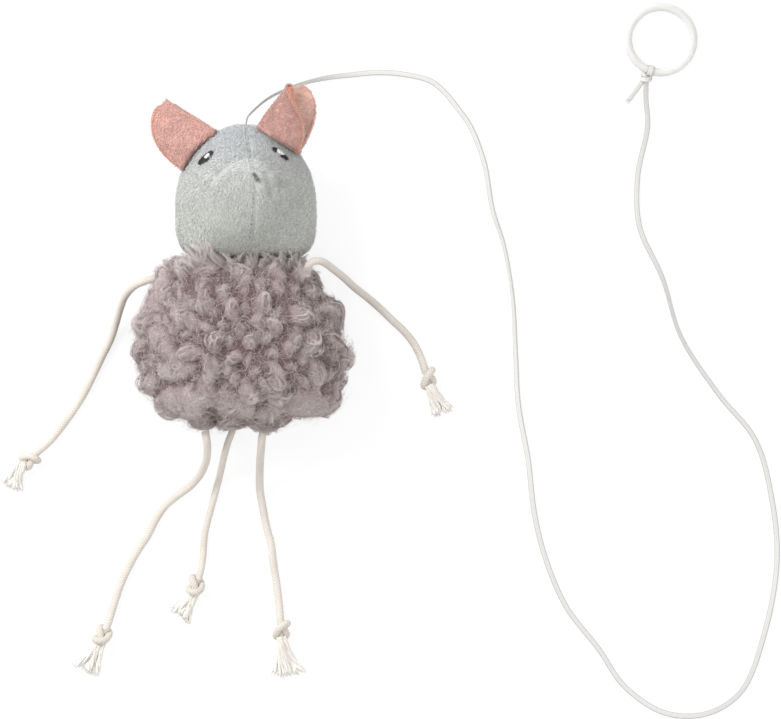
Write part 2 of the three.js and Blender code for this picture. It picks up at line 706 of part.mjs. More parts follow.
// Strands of frayed cord, fused where they leave the collar. Drawn along +X, with the floor below.
function tassel(limb, floorDrop) {
  const radius = limb.diameter / 2;
  const collar = new THREE.CylinderGeometry(radius, radius - gap, collarLength, cordSides);
  collar.rotateZ(Math.PI / 2).translate(collarLength / 2, 0, 0);
  const yarns = [];
  for (let i = 0; i < yarnCount; i++) {
    const share = i / (yarnCount - 1);
    const swing = radians(limb.spread * (share - 0.5));
    const length = limb.fringe * (0.84 + 0.16 * Math.cos(5 * i));
    const height = (radius - yarnDiameter / 2) * Math.sin(2.4 * i);
    const side = (radius - yarnDiameter / 2) * (2 * share - 1);
    const drop = (floorDrop - yarnTipDiameter) * (0.9 + 0.1 * Math.sin(3.1 * i));
    yarns.push(yarn(length, swing, side, height, -drop));
  }
  return join(collar, ...yarns);
}

function yarn(length, swing, side, height, drop) {
  const middle = [];
  const rows = 5;
  for (let i = 0; i <= rows; i++) {
    const share = i / rows;
    const out = collarLength / 2 + (length - collarLength / 2) * share;
    const spread = side + length * Math.sin(swing) * share ** 1.5;
    const z = THREE.MathUtils.lerp(height, drop, THREE.MathUtils.smoothstep(share, 0, 1));
    middle.push(new THREE.Vector3(out * Math.cos(swing * share), spread, z));
  }
  const rings = middle.slice(0, rows).map((centre, i) => {
    const radius = THREE.MathUtils.lerp(yarnDiameter, yarnTipDiameter, i / rows) / 2;
    const ring = [];
    for (let k = 0; k < yarnSides; k++) {
      const angle = (2 * Math.PI * k) / yarnSides;
      ring.push(new THREE.Vector3(centre.x, centre.y + radius * Math.cos(angle),
        centre.z + radius * Math.sin(angle)));
    }
    return ring;
  });
  return skinOver(middle[0], rings, middle[rows]);
}

function limb(seat) {
  const group = new THREE.Group();
  group.position.copy(seat.root);
  const curve = smoothRoute([seat.root, ...seat.route.map(asPoint)]);
  const cord = cordAlong(curve, seat.diameter, cordSides, seat.steps);
  cord.translate(...seat.root.clone().negate());

  const end = curve.getPoint(1);
  const heading = Math.atan2(curve.getTangent(1).y, curve.getTangent(1).x);
  const way = new THREE.Vector3(Math.cos(heading), Math.sin(heading), 0);
  const knotReach = knotHalfLength(knotStrand) + gap;
  const knot = named(`${seat.name}_knot`, overhandKnot(knotStrand), cottonBraid);
  knot.position.copy(end).addScaledVector(way, knotReach).setZ(knotHalfWidth(knotStrand)).sub(seat.root);
  knot.rotation.z = heading;

  const fringe = named(`${seat.name}_tassel`, tassel(seat, knotHalfWidth(knotStrand)), cottonBraid);
  fringe.position.copy(knot.position).addScaledVector(way, knotReach);
  fringe.rotation.z = heading + radians(seat.turn);

  group.add(named(`${seat.name}_cord`, cord, cottonBraid), knot, fringe);
  return group;
}

// String and ring

const ringRadius = (ringOutsideDiameter - ringBarDiameter) / 2;
const loopOuterRadius = ringBarDiameter / 2 + gap + loopThickness;
const ringTilt = Math.asin((loopOuterRadius - ringBarDiameter / 2) / (2 * ringRadius));
const tieWay = planWay(ringTieAngle);
const tieMiddle = new THREE.Vector3(ringCentreX, ringCentreY, loopOuterRadius)
  .addScaledVector(tieWay, ringRadius * Math.cos(ringTilt));
const stringKnotPlace = tieMiddle.clone()
  .addScaledVector(tieWay, loopOuterRadius + gap + knotHalfLength(stringKnotStrand));

function fingerRing() {
  const bar = new THREE.TorusGeometry(ringRadius, ringBarDiameter / 2, 8, 36);
  const ring = named('finger_ring', bar, clearPlastic);
  ring.position.set(ringCentreX, ringCentreY, loopOuterRadius - ringRadius * Math.sin(ringTilt));
  const swingAxis = up.clone().cross(tieWay);
  ring.quaternion.setFromAxisAngle(swingAxis, -ringTilt);
  return ring;
}

// A flat band of elastic once round the bar
function ringLoop() {
  const half = loopWidth / 2;
  const inner = ringBarDiameter / 2 + gap;
  const round = loopThickness / 3;
  const profile = [
    new THREE.Vector2(inner, -half + round), new THREE.Vector2(inner + round, -half),
    new THREE.Vector2(loopOuterRadius - round, -half), new THREE.Vector2(loopOuterRadius, -half + round),
    new THREE.Vector2(loopOuterRadius, half - round), new THREE.Vector2(loopOuterRadius - round, half),
    new THREE.Vector2(inner + round, half), new THREE.Vector2(inner, half - round),
    new THREE.Vector2(inner, -half + round),
  ];
  const loop = named('ring_loop', new THREE.LatheGeometry(profile, 16), elastic);
  loop.position.copy(tieMiddle);
  loop.rotation.z = radians(ringTieAngle);
  return loop;
}

function stringKnot() {
  const knot = named('string_knot', overhandKnot(stringKnotStrand), elastic);
  knot.position.copy(stringKnotPlace);
  knot.rotation.z = radians(ringTieAngle);
  return knot;
}

// The cut end comes out beside the knot and lies down on the floor
function stringEnd() {
  const start = stringKnotPlace.clone().addScaledVector(tieWay, knotHalfLength(stringKnotStrand));
  start.add(planWay(180).multiplyScalar(endDiameter + gap));
  const curve = smoothRoute([
    start,
    start.clone().addScaledVector(planWay(-120), endLength * 0.3).setZ(1.6 * endDiameter),
    start.clone().addScaledVector(planWay(-124), endLength * 0.65).setZ(0.8 * endDiameter),
    start.clone().addScaledVector(planWay(-129), endLength).setZ(0.6 * endDiameter),
  ]);
  return named('string_end', cordAlong(curve, endDiameter, cordSides, 6), elastic);
}

function elasticString() {
  const exit = headCentre.clone().addScaledVector(ahead, headRadius(ahead) + gap);
  const knotEntry = stringKnotPlace.clone()
    .addScaledVector(tieWay, knotHalfLength(stringKnotStrand) + gap);
  const curve = smoothRoute([exit, ...stringRoute.map(asPoint), knotEntry]);
  return named('elastic_string', cordAlong(curve, stringDiameter, cordSides, stringSteps), elastic);
}

// The whole toy

const seats = limbs.map(limbSeat);
const toy = new THREE.Group();
toy.add(body(seats), head(), ...seats.map(limb));
toy.add(elasticString(), stringKnot(), stringEnd(), ringLoop(), fingerRing());

console.log(`least gap of a limb knot to itself: ${knotSelfGap(knotStrand).toFixed(2)} mm`);
console.log(`least gap of the string knot to itself: ${knotSelfGap(stringKnotStrand).toFixed(2)} mm`);

export default toy;
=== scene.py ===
import math

import bpy
import numpy as np
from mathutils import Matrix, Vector
from mathutils.bvhtree import BVHTree

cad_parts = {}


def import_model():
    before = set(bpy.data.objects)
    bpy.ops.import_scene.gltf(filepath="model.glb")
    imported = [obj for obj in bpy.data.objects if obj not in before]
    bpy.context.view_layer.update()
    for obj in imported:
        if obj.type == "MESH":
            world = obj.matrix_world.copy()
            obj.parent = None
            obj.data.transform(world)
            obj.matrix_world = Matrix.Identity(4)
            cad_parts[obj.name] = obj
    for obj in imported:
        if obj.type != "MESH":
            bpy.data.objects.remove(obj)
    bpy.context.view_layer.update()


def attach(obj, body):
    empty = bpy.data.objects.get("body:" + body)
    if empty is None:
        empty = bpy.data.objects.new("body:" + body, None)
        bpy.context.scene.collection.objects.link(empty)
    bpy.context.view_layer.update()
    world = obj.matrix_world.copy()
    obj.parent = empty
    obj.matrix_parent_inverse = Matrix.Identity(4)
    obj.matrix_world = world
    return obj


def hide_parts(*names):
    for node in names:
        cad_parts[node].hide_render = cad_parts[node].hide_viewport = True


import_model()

MM = 0.001
PIXEL = 0.42 * MM
IMAGE_WIDTH, IMAGE_HEIGHT = 781, 719
TORSO_PIXEL = (242, 345)  # the pixel over the middle of the body
FUR_SEED = 77
rng = np.random.default_rng(1204)


# ---------- small tools ----------

def vec(*xyz):
    return np.array(xyz, dtype=float)


def unit(v):
    return v / np.maximum(np.linalg.norm(v, axis=-1, keepdims=True), 1e-12)


def smoothstep(t, low=0.0, high=1.0):
    t = np.clip((t - low) / (high - low), 0, 1)
    return t * t * (3 - 2 * t)


def bell(distance, width):
    return np.exp(-(distance / width) ** 2)


def table(x, pairs):
    return np.interp(x, *zip(*pairs))


def column(low, high, count):
    """A column of evenly spread random numbers."""
    return rng.uniform(low, high, (count, 1))


def scattered(size, count):
    """A column of normally spread random numbers."""
    return rng.normal(0, size, (count, 1))


def value_noise(points, seed=0):
    """Smooth repeatable noise from -1 to 1, with features about 1 unit wide."""
    base = np.floor(points).astype(np.int64)
    t = smoothstep(points - base)
    total = np.zeros(points.shape[:-1])
    for corner in np.ndindex(2, 2, 2):
        bits = np.bitwise_xor.reduce((base + corner) * (73856093, 19349663, 83492791), axis=-1)
        bits = (bits ^ (seed * 2654435761)) & 0xFFFFFFFF
        for shift, factor in ((15, 2246822519), (13, 3266489917)):
            bits = ((bits ^ (bits >> shift)) * factor) & 0xFFFFFFFF
        hashed = ((bits ^ (bits >> 16)) & 0xFFFFFF) / 0xFFFFFF
        total += np.prod(np.where(corner, t, 1 - t), axis=-1) * hashed
    return total * 2 - 1


def layered_noise(points, octaves, seed=0):
    return sum(value_noise(points * 2.03 ** k + 17.1 * k, seed + k) * 0.5 ** k for k in range(octaves))


def mesh_piece(name, points, faces, body, slot, material, stands_for=(), **attributes):
    """A smooth piece from points (n, 3), arrays of faces (m, 3) or (m, 4), and values for its points."""
    mesh = bpy.data.meshes.new(name)
    mesh.vertices.add(len(points))
    mesh.vertices.foreach_set("co", np.float32(points).ravel())
    corners = np.concatenate([part.ravel() for part in faces])
    sizes = np.concatenate([np.full(len(part), part.shape[1]) for part in faces])
    mesh.loops.add(len(corners))
    mesh.loops.foreach_set("vertex_index", np.int32(corners))
    mesh.polygons.add(len(sizes))
    mesh.polygons.foreach_set("loop_start", np.int32(np.cumsum(sizes) - sizes))
    mesh.update(calc_edges=True)
    mesh.validate()
    mesh.shade_smooth()
    for key, values in attributes.items():
        mesh.attributes.new(key, "FLOAT", "POINT").data.foreach_set("value", np.float32(values))
    piece = bpy.data.objects.new(name, mesh)
    bpy.context.scene.collection.objects.link(piece)
    mesh.materials.append(material)
    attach(piece, body)
    if stands_for:
        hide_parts(*stands_for)
    return piece


def run_of(line):
    """The length along a line up to each of its points."""
    return np.append(0, np.cumsum(np.linalg.norm(np.diff(line, axis=0), axis=1)))


def even_line(line, step):
    run = run_of(line)
    wanted = np.linspace(0, run[-1], max(int(round(run[-1] / step)), 2) + 1)
    return np.column_stack([np.interp(wanted, run, axis) for axis in line.T])


def smooth_line(points, step):
    """Points a step apart along a centripetal Catmull-Rom curve through the given ones."""
    points = np.asarray(points, dtype=float)
    points = np.vstack([2 * points[0] - points[1], points, 2 * points[-1] - points[-2]])
    knots = np.append(0, np.cumsum(np.linalg.norm(np.diff(points, axis=0), axis=1) ** 0.5))
    fine = []
    for k in range(len(points) - 3):
        at, level = knots[k:k + 4], points[k:k + 4]
        t = np.linspace(at[1], at[2], 24, endpoint=False)[:, None]
        for spans in (((0, 1), (1, 2), (2, 3)), ((0, 2), (1, 3)), ((1, 2),)):
            level = [a + (b - a) * (t - at[i]) / (at[j] - at[i]) for a, b, (i, j) in zip(level, level[1:], spans)]
        fine.append(level[0])
    return even_line(np.vstack(fine + [points[-2]]), step)


def frames_along(line):
    """Two directions across the line at each point that turn as little as they can."""
    tangents = unit(np.gradient(line, axis=0))
    sides = [vec(0, 0, 1)]
    for tangent in tangents:
        sides.append(unit(sides[-1] - tangent * np.dot(sides[-1], tangent)))
    sides = np.array(sides[1:])
    return sides, np.cross(tangents, sides)


def ring_faces(count, sides, closed=False):
    """The quads between rings of points. An open tube also has a fan to a middle point at each end."""
    here = np.arange(count * sides).reshape(count, sides)
    beside = np.roll(here, -1, axis=1)
    quads = np.stack([here, beside, np.roll(beside, -1, axis=0), np.roll(here, -1, axis=0)], axis=-1)
    if closed:
        return [quads.reshape(-1, 4)]
    middle = np.full(sides, count * sides)
    return [quads[:-1].reshape(-1, 4), np.stack([middle, beside[0], here[0]], axis=-1),
            np.stack([middle + 1, here[-1], beside[-1]], axis=-1)]


def tube_piece(name, line, radius, sides, body, slot, material, profile=None, stands_for=(), turn=0.0):
    """A tube round a line. profile(run, angle) gives its share of the radius, and its height for the colour."""
    across, up = frames_along(line)
    run, angle = np.meshgrid(run_of(line), np.linspace(0, 2 * np.pi, sides, endpoint=False), indexing="ij")
    size, height = profile(run, angle) if profile else (np.ones_like(run), None)
    angle = (angle + np.reshape(turn, (-1, 1)))[..., None]
    way = np.cos(angle) * across[:, None] + np.sin(angle) * up[:, None]
    points = (line[:, None] + way * (radius * size)[..., None]).reshape(-1, 3)
    heights = {"height": np.append(height, [0.5, 0.5])} if profile else {}
    return mesh_piece(name, np.vstack([points, line[0], line[-1]]), ring_faces(len(line), sides),
                      body, slot, material, stands_for, **heights)


def strands(paths, radii, sides=3):
    """Many thin closed tubes at once. paths is (n, steps, 3) and radii (n, steps)."""
    count, steps, _ = paths.shape
    tangents = unit(np.gradient(paths, axis=1))
    chord = unit(paths[:, -1] - paths[:, 0] + 1e-9)
    helper = unit(np.cross(chord, rng.normal(size=(count, 3))))[:, None]
    across = unit(helper - tangents * np.sum(helper * tangents, axis=-1, keepdims=True))
    up = np.cross(tangents, across)
    angle = np.linspace(0, 2 * np.pi, sides, endpoint=False)[:, None]
    offset = np.cos(angle) * across[:, :, None] + np.sin(angle) * up[:, :, None]
    points = paths[:, :, None] + offset * radii[:, :, None, None]
    here = np.arange(count * steps * sides).reshape(count, steps, sides)
    beside = np.roll(here, -1, axis=2)
    faces = [np.stack([here[:, :-1], beside[:, :-1], beside[:, 1:], here[:, 1:]], axis=-1).reshape(-1, 4)]
    for k in range(1, sides - 1):
        faces += [here[:, 0][:, [0, k + 1, k]], here[:, -1][:, [0, k, k + 1]]]
    return points.reshape(-1, 3), faces


def fibres(name, paths, width, body, slot, material, tones=None, taper=0.35):
    """Fine fibres with a tone each, or one for each of their points."""
    count, steps, _ = paths.shape
    profile = table(np.linspace(0, 1, steps), ((0, 0.85), (0.55, 1), (1, taper)))
    points, faces = strands(paths, profile * width * MM / 2 * column(0.8, 1.2, count))
    tones = rng.random(count) if tones is None else tones
    return mesh_piece(name, points, faces, body, slot, material,
                      tone=np.repeat(tones.ravel(), 3 * steps * count // tones.size),
                      along=np.tile(np.repeat(np.linspace(0, 1, steps), 3), count))


# ---------- materials ----------

def srgb(*colour):
    """A linear colour from one as written, 0 to 255."""
    shares = [c / 255 for c in colour]
    return tuple(c / 12.92 if c <= 0.04045 else ((c + 0.055) / 1.055) ** 2.4 for c in shares)


def grey(value):
    return (value, value, value)


def add_node(tree, kind, **values):
    node = tree.nodes.new(kind)
    for key, value in values.items():
        if key in node.inputs:
            node.inputs[key].default_value = value
        else:
            setattr(node, key, value)
    return node


def object_place(tree):
    return add_node(tree, "ShaderNodeTexCoord").outputs["Object"]


def noise_of(tree, scale, detail):
    noise = add_node(tree, "ShaderNodeTexNoise", Scale=scale, Detail=detail)
    tree.links.new(object_place(tree), noise.inputs["Vector"])
    return noise.outputs["Fac"]


def ramp_of(tree, value, stops):
    ramp = tree.nodes.new("ShaderNodeValToRGB")
    elements = ramp.color_ramp.elements
    while len(elements) < len(stops):
        elements.new(0.5)
    for element, (place, colour) in zip(elements, stops):
        element.position = place
        element.color = (*colour, 1)
    tree.links.new(value, ramp.inputs["Fac"])
    return ramp.outputs["Color"]


def new_material(name, layers=(), bump=None, tint=None, roughness=0.8, specular=0.5, sheen=0.0, sheen_spread=0.5):
    """Colour ramps times each other, each over noise (scale, detail) or over a named value of the points.

    bump is a noise's scale and detail, and its strength and distance."""
    material = bpy.data.materials.new(name)
    material.use_nodes = True
    tree = material.node_tree
    shader = tree.nodes["Principled BSDF"]
    for key, value in (("Roughness", roughness), ("Specular IOR Level", specular), ("Sheen Weight", sheen),
                       ("Sheen Roughness", sheen_spread)):
        shader.inputs[key].default_value = value
    colours = []
    for source, stops in layers:
        if isinstance(source, str):
            value = add_node(tree, "ShaderNodeAttribute", attribute_name=source).outputs["Fac"]
        else:
            value = noise_of(tree, *source)
        colours.append(ramp_of(tree, value, stops))
    if tint:
        colours.append(tint(tree))
    while len(colours) > 1:
        both = add_node(tree, "ShaderNodeMix", data_type="RGBA", blend_type="MULTIPLY")
        both.inputs["Factor"].default_value = 1.0
        for socket in ("A", "B"):
            tree.links.new(colours.pop(0), both.inputs[socket])
        colours.insert(0, both.outputs["Result"])
    for colour in colours:
        tree.links.new(colour, shader.inputs["Base Color"])
    if bump:
        relief = add_node(tree, "ShaderNodeBump", Strength=bump[2], Distance=bump[3])
        tree.links.new(noise_of(tree, *bump[:2]), relief.inputs["Height"])
        tree.links.new(relief.outputs["Normal"], shader.inputs["Normal"])
    return material


def fibre_material(name, root, tip, sheen=0.25, spread=0.12, tint=None):
    """Fibres that go from a root colour to a tip colour, each with its own tone."""
    return new_material(name, (("along", ((0.0, root), (0.75, tip))),
                               ("tone", ((0.0, grey(1 - 1.6 * spread)), (1.0, grey(1))))),
                        tint=tint, roughness=0.85, specular=0.2, sheen=sheen)


def thread_material(name, dark, light, roughness=0.45):
    return new_material(name, (((2600, 2), ((0.3, dark), (0.75, light))),), (2600, 2, 0.3, 0.0001),
                        roughness=roughness)


# ---------- camera, floor and light ----------

def photo_point(px, py, z=0.0):
    return Vector(((px - TORSO_PIXEL[0]) * PIXEL, (TORSO_PIXEL[1] - py) * PIXEL, z))


def make_camera():
    distance = 4.0
    data = bpy.data.cameras.new("camera")
    data.sensor_width = 36.0
    data.lens = data.sensor_width * distance / (IMAGE_WIDTH * PIXEL)
    data.clip_end = 20
    camera = bpy.data.objects.new("camera", data)
    camera.location = photo_point(IMAGE_WIDTH / 2, IMAGE_HEIGHT / 2, distance)
    bpy.context.scene.collection.objects.link(camera)
    bpy.context.scene.camera = camera


def show_background(tree, lighting, seen, output):
    """One shader lights the object. The other is what is seen, also by a mirror or through glass."""
    path = add_node(tree, "ShaderNodeLightPath")
    share = path.outputs["Is Camera Ray"]
    for kind in ("Is Glossy Ray", "Is Transmission Ray"):
        either = add_node(tree, "ShaderNodeMath", operation="MAXIMUM")
        tree.links.new(share, either.inputs[0])
        tree.links.new(path.outputs[kind], either.inputs[1])
        share = either.outputs[0]
    choose = tree.nodes.new("ShaderNodeMixShader")
    for k, value in enumerate((share, lighting.outputs[0], seen.outputs[0])):
        tree.links.new(value, choose.inputs[k])
    tree.links.new(choose.outputs[0], tree.nodes[output].inputs["Surface"])


def floor_material():
    """White paper, seen as a white background that keeps the object's shadow."""
    material = new_material("floor_paper")
    tree = material.node_tree
    tree.nodes.remove(tree.nodes["Principled BSDF"])
    paper, shaded = (add_node(tree, "ShaderNodeBsdfDiffuse", Color=(*grey(value), 1)) for value in (0.8, 0.23))
    glow = add_node(tree, "ShaderNodeEmission", Color=(1, 1, 1, 1), Strength=0.82)
    both = tree.nodes.new("ShaderNodeAddShader")
    tree.links.new(glow.outputs[0], both.inputs[0])
    tree.links.new(shaded.outputs[0], both.inputs[1])
    show_background(tree, paper, both, "Material Output")
    return material


def make_stage():
    scene = bpy.context.scene
    scene.view_settings.view_transform = "Standard"
    world = bpy.data.worlds.new("studio")
    scene.world = world
    world.use_nodes = True
    tree = world.node_tree
    lighting = tree.nodes["Background"]
    lighting.inputs["Color"].default_value = (1, 1, 1, 1)
    lighting.inputs["Strength"].default_value = 0.6
    white = add_node(tree, "ShaderNodeBackground", Color=(1, 1, 1, 1), Strength=1.0)
    show_background(tree, lighting, white, "World Output")

    half = 3.0
    mesh = bpy.data.meshes.new("floor")
    mesh.from_pydata([(-half, -half, 0), (half, -half, 0), (half, half, 0), (-half, half, 0)], [], [(0, 1, 2, 3)])
    mesh.materials.append(floor_material())
    floor = bpy.data.objects.new("floor", mesh)
    scene.collection.objects.link(floor)
    floor.location.z = -0.00005

    for name, place, size, power in (("key", (-0.95, 0.8, 1.05), 0.9, 22.0), ("fill", (0.9, -0.5, 1.2), 1.2, 6.5)):
        lamp = bpy.data.lights.new(name, "AREA")
        lamp.energy = power
        lamp.size = size
        light = bpy.data.objects.new(name, lamp)
        light.location = place
        light.rotation_euler = (-Vector(place)).to_track_quat("-Z", "Y").to_euler()
        scene.collection.objects.link(light)


# ---------- cords ----------

BRAID_SIDES = 36
BRAID_CELLS = 5  # round the cord
BRAID_PITCH = 1.2 * MM
BRAID_DEPTH = 0.2
# The overhand knot: its strand, the gap between its turns, and its formula's span, winding and length.
KNOT_STRAND = 2.1
KNOT_GAP = 0.42
KNOT_SPAN = 2.1
KNOT_WINDING = 2.244
KNOT_LENGTH = 0.4605
KNOT_HALF_LENGTH = KNOT_LENGTH * (KNOT_SPAN ** 3 - 3 * KNOT_SPAN) * (KNOT_STRAND + KNOT_GAP) + 0.14 * KNOT_STRAND
KNOT_HALF_WIDTH = 1.443 * (KNOT_STRAND + KNOT_GAP) + KNOT_STRAND / 2
KNOT_DRAWN = (1.28, 0.8, 0.8)  # drawn tighter than the solid, and longer
DRAWN_STRAND = 1.5
CORD_INTO_KNOT = 1.6
LIMB_ROUTES = {
    "left_arm": [
        (-34.67, 28.11, 25.5), (-35.7, 27.8, 26), (-38.4, 27.2, 25.6), (-41.4, 26.2, 24.4), (-43.9, 25.1, 22.6),
        (-46.1, 23.5, 20.1), (-47.9, 21.5, 17), (-49.4, 19.2, 13.6), (-51.4, 13.9, 8), (-53.1, 8.4, 4),
        (-55.1, 2.5, 2.2), (-58.8, -5, 1.65), (-62.2, -12.2, 1.65), (-65.5, -18.9, 1.65), (-69.5, -25.6, 1.65),
        (-74.2, -32.3, 1.65), (-79.5, -39.1, 2.4), (-83.3, -42.9, 3.9), (-85.2, -44.5, 4.5), (-86.4, -45.5, 4.5),
    ],
    "right_arm": [
        (27.45, 29.64, 34.89), (27.8, 31.9, 36.8), (29.2, 34.1, 38.6), (31.6, 35, 38.8), (34.5, 34.4, 36.9),
        (38.1, 31.9, 32.6), (42.7, 28.3, 24.6), (47.2, 24.2, 15.6), (52.9, 19.7, 7.2), (58, 15.3, 3),
        (63, 10.5, 1.75), (68.1, 5.7, 1.65), (71.7, 1.3, 2), (74.2, -3.2, 3.3), (75.8, -7.3, 4.4),
        (76.3, -8.9, 4.5), (76.8, -10.4, 4.5),
    ],
    "left_leg": [
        (-15.03, -36.03, 25.5), (-14.4, -39.5, 25.6), (-14.1, -42.2, 24), (-14.2, -45, 21.2), (-14.6, -47.9, 17.2),
        (-15.6, -50.8, 13), (-17.1, -53.9, 9.2), (-21.4, -59, 4.6), (-27.3, -63.3, 2.4), (-32.3, -67.6, 1.75),
        (-36.3, -73.5, 1.7), (-39.6, -80, 1.7), (-43.9, -86.5, 1.7), (-47.5, -93, 1.7), (-50.8, -100.2, 1.7),
        (-53.3, -107.4, 2.2), (-54.8, -112.6, 3.7), (-56, -116.4, 4.5), (-56.6, -118, 4.5),
    ],
    "right_leg": [
        (9.08, -36.69, 25.5), (8.7, -39.5, 25.7), (8.4, -42.6, 23.8), (8.1, -45.8, 20.2), (7.8, -49, 15.6),
        (7.6, -52.8, 10.4), (7.5, -57.2, 5.8), (7.7, -61.9, 3), (8.9, -69.1, 1.75), (10.3, -76.4, 1.65),
        (12.2, -83.6, 1.65), (13.2, -91.6, 1.65), (14.3, -98.7, 1.65), (15.2, -105.4, 2.2), (15.8, -110.6, 3.7),
        (16.1, -114.2, 4.5), (16.2, -115.8, 4.5),
    ],
    "tail": [
        (-3.16, -33.98, 15.12), (-4.4, -37.6, 15.4), (-5.6, -40.6, 13.4), (-6.6, -43.9, 10.2), (-7.6, -47.5, 6.8),
        (-8.5, -51.4, 3.9), (-9.6, -56, 2.1), (-11.3, -62.6, 1.5), (-12.5, -66.8, 1.5), (-13.5, -70.6, 1.5),
        (-15.3, -77.7, 1.5), (-16, -83.5, 1.9), (-16.3, -88.6, 3), (-16.9, -93.2, 4.3), (-17.3, -95.2, 4.5),
        (-17.8, -97, 4.5),
    ],
}
# Diameter, length of the frayed end, its turn from the cord, its spread, its yarns, and the knot's roll.
LIMB_FACTS = {
    "left_arm": (3.2, 12.0, 22, 26, 12, 150),
    "right_arm": (3.2, 13.5, 6, 26, 12, 125),
    "left_leg": (3.3, 15.0, -4, 26, 12, 12),
    "right_leg": (3.3, 17.0, 8, 32, 14, 140),
    "tail": (2.9, 13.0, -22, 36, 13, -8),
}
STRING_ROUTE = [
    (2.0, 89.5, 26), (2.1, 92.7, 26), (2.6, 94.9, 26), (5.9, 98.7, 22.6), (11.6, 103.4, 16.4), (19.7, 107.5, 8.8),
    (26.4, 110, 3.9), (36.1, 112.3, 1.4), (45.4, 113.4, 1.25), (56.3, 114.4, 1.25), (67, 113.8, 1.25),
    (78.8, 111, 1.25), (84.3, 106.9, 1.25), (90.5, 99.5, 1.25), (95.9, 91.7, 1.25), (101.8, 76.2, 1.25),
    (105.2, 57, 1.25), (110, 41.7, 1.25), (113.7, 19.9, 1.25), (114.9, -3.4, 1.25), (116.1, -25.2, 1.25),
    (120.1, -47.8, 1.25), (122.9, -71.4, 1.25), (127.8, -90.7, 1.25), (136.2, -110, 1.25),
    (149.9, -127.8, 1.25), (160.4, -143.1, 1.25), (177.4, -154.4, 1.25), (195.1, -154.8, 1.25),
    (209.6, -145.5, 1.25), (219.1, -122.1, 1.25), (224.6, -91.6, 1.25), (222.5, -64.9, 1.25),
    (215.5, -39.9, 1.25), (199.9, -20.4, 1.25), (184.2, 3.8, 1.25), (176.6, 28, 1.25),
    (166.9, 49.8, 1.25), (166.1, 70.6, 1.25), (170.3, 92, 1.3), (169.6, 103.5, 2.2), (169.7, 110.7, 3.1),
]
# How far the band stands on its edge, in degrees, at lengths along it.
STRING_TWIST = [(0, 92), (42, 84), (62, 40), (80, 20), (140, 62), (190, 88), (230, 60), (290, 20), (350, 8), (420, 40),
                (480, 15), (540, 50), (600, 78), (650, 30), (700, 60)]
STRING_HALF_WIDE = 1.22 * MM


def braid(run, angle):
    """A round braid's size and height: two sets of yarns wind both ways and pass over and under."""
    turns = BRAID_CELLS * angle / (2 * np.pi)
    a, b = run / BRAID_PITCH + turns, run / BRAID_PITCH - turns
    i, j = np.floor(a), np.floor(b)
    one_way = 0.62 * np.sin(np.pi * (a - i)) ** 0.7 + 0.38 * np.sin(np.pi * (b + i))
    other_way = 0.62 * np.sin(np.pi * (b - j)) ** 0.7 - 0.38 * np.sin(np.pi * (a + j))
    height = np.clip(np.maximum(one_way, other_way), 0, 1)
    return 1 - BRAID_DEPTH + BRAID_DEPTH * height, height


def box_reach(angle, half_x, half_y, power=3.0):
    """How far a box with rounded corners reaches from its middle."""
    return ((np.abs(np.cos(angle)) / half_x) ** power + (np.abs(np.sin(angle)) / half_y) ** power) ** (-1 / power)


def ribbed_band(half_wide, half_thick, ribs=4, power=3.0, ridge=0.06, weave=0.0):
    """A flat elastic band's size and height, with ribs that run along it."""
    def profile(run, angle):
        box = box_reach(angle, half_wide, half_thick, power)
        rib = 0.5 * np.cos(np.pi * ribs * np.cos(angle) * box / half_wide)
        picks = 1 + weave * np.sin(2 * np.pi * run / (0.9 * MM) + 3 * angle)
        return box * (1 - ridge * (0.5 + rib)) * picks, 0.5 - rib
    return profile


def knot_line(strand, steps):
    """An overhand knot along X, drawn for a strand of the given thickness."""
    t = np.linspace(-KNOT_SPAN, KNOT_SPAN, steps)
    bulge = 0.808 + 0.635 * bell(np.abs(t) - 1, 0.866)
    radius = (strand + KNOT_GAP) * bulge * (1 - smoothstep(np.abs(t), 1.376, 2.352))
    x = (strand + KNOT_GAP) * KNOT_LENGTH * (t ** 3 - 3 * t)
    return np.column_stack([x, radius * np.cos(KNOT_WINDING * t), -radius * np.sin(KNOT_WINDING * t)])


def turned(points, angle):
    """Points turned about Z."""
    c, s = math.cos(angle), math.sin(angle)
    x, y, z = np.moveaxis(points, -1, 0)
    return np.stack([x * c - y * s, x * s + y * c, z], axis=-1)


def make_limb(name, cotton, fibre):
    """A braided cord, the overhand knot near its end and the tassel beyond it."""
    diameter, fringe, turn, spread, yarns, roll = LIMB_FACTS[name]
    route = np.array(LIMB_ROUTES[name]) * MM
    ending = route[-1] + unit(route[-1] - route[-2]) * CORD_INTO_KNOT * MM
    line = smooth_line(np.vstack([route, ending]), 0.22 * MM)
    cord = tube_piece(f"{name}_braid", line, diameter / 2 * MM * 1.04, BRAID_SIDES, name, "cotton_braid", cotton,
                      braid, [f"{name}_cord"])
    heading = math.atan2(*(line[-1] - line[-4])[[1, 0]])
    ahead = vec(math.cos(heading), math.sin(heading), 0)
    reach = (KNOT_HALF_LENGTH + 0.3) * MM
    centre = route[-1] + ahead * reach
    centre[2] = KNOT_HALF_WIDTH * MM
    shape = knot_line(KNOT_STRAND, 400) * KNOT_DRAWN
    shape = turned(shape[:, [1, 2, 0]], math.radians(roll))[:, [2, 0, 1]]
    loop = even_line(turned(shape, heading) * MM + centre, 0.2 * MM)
    knot = tube_piece(f"{name}_tied_knot", loop, DRAWN_STRAND * MM, BRAID_SIDES, name, "cotton_braid", cotton,
                      braid, [f"{name}_knot"])
    tassel = make_tassel(name, centre + ahead * reach, heading + math.radians(turn), fringe, spread, yarns,
                         diameter, fibre)


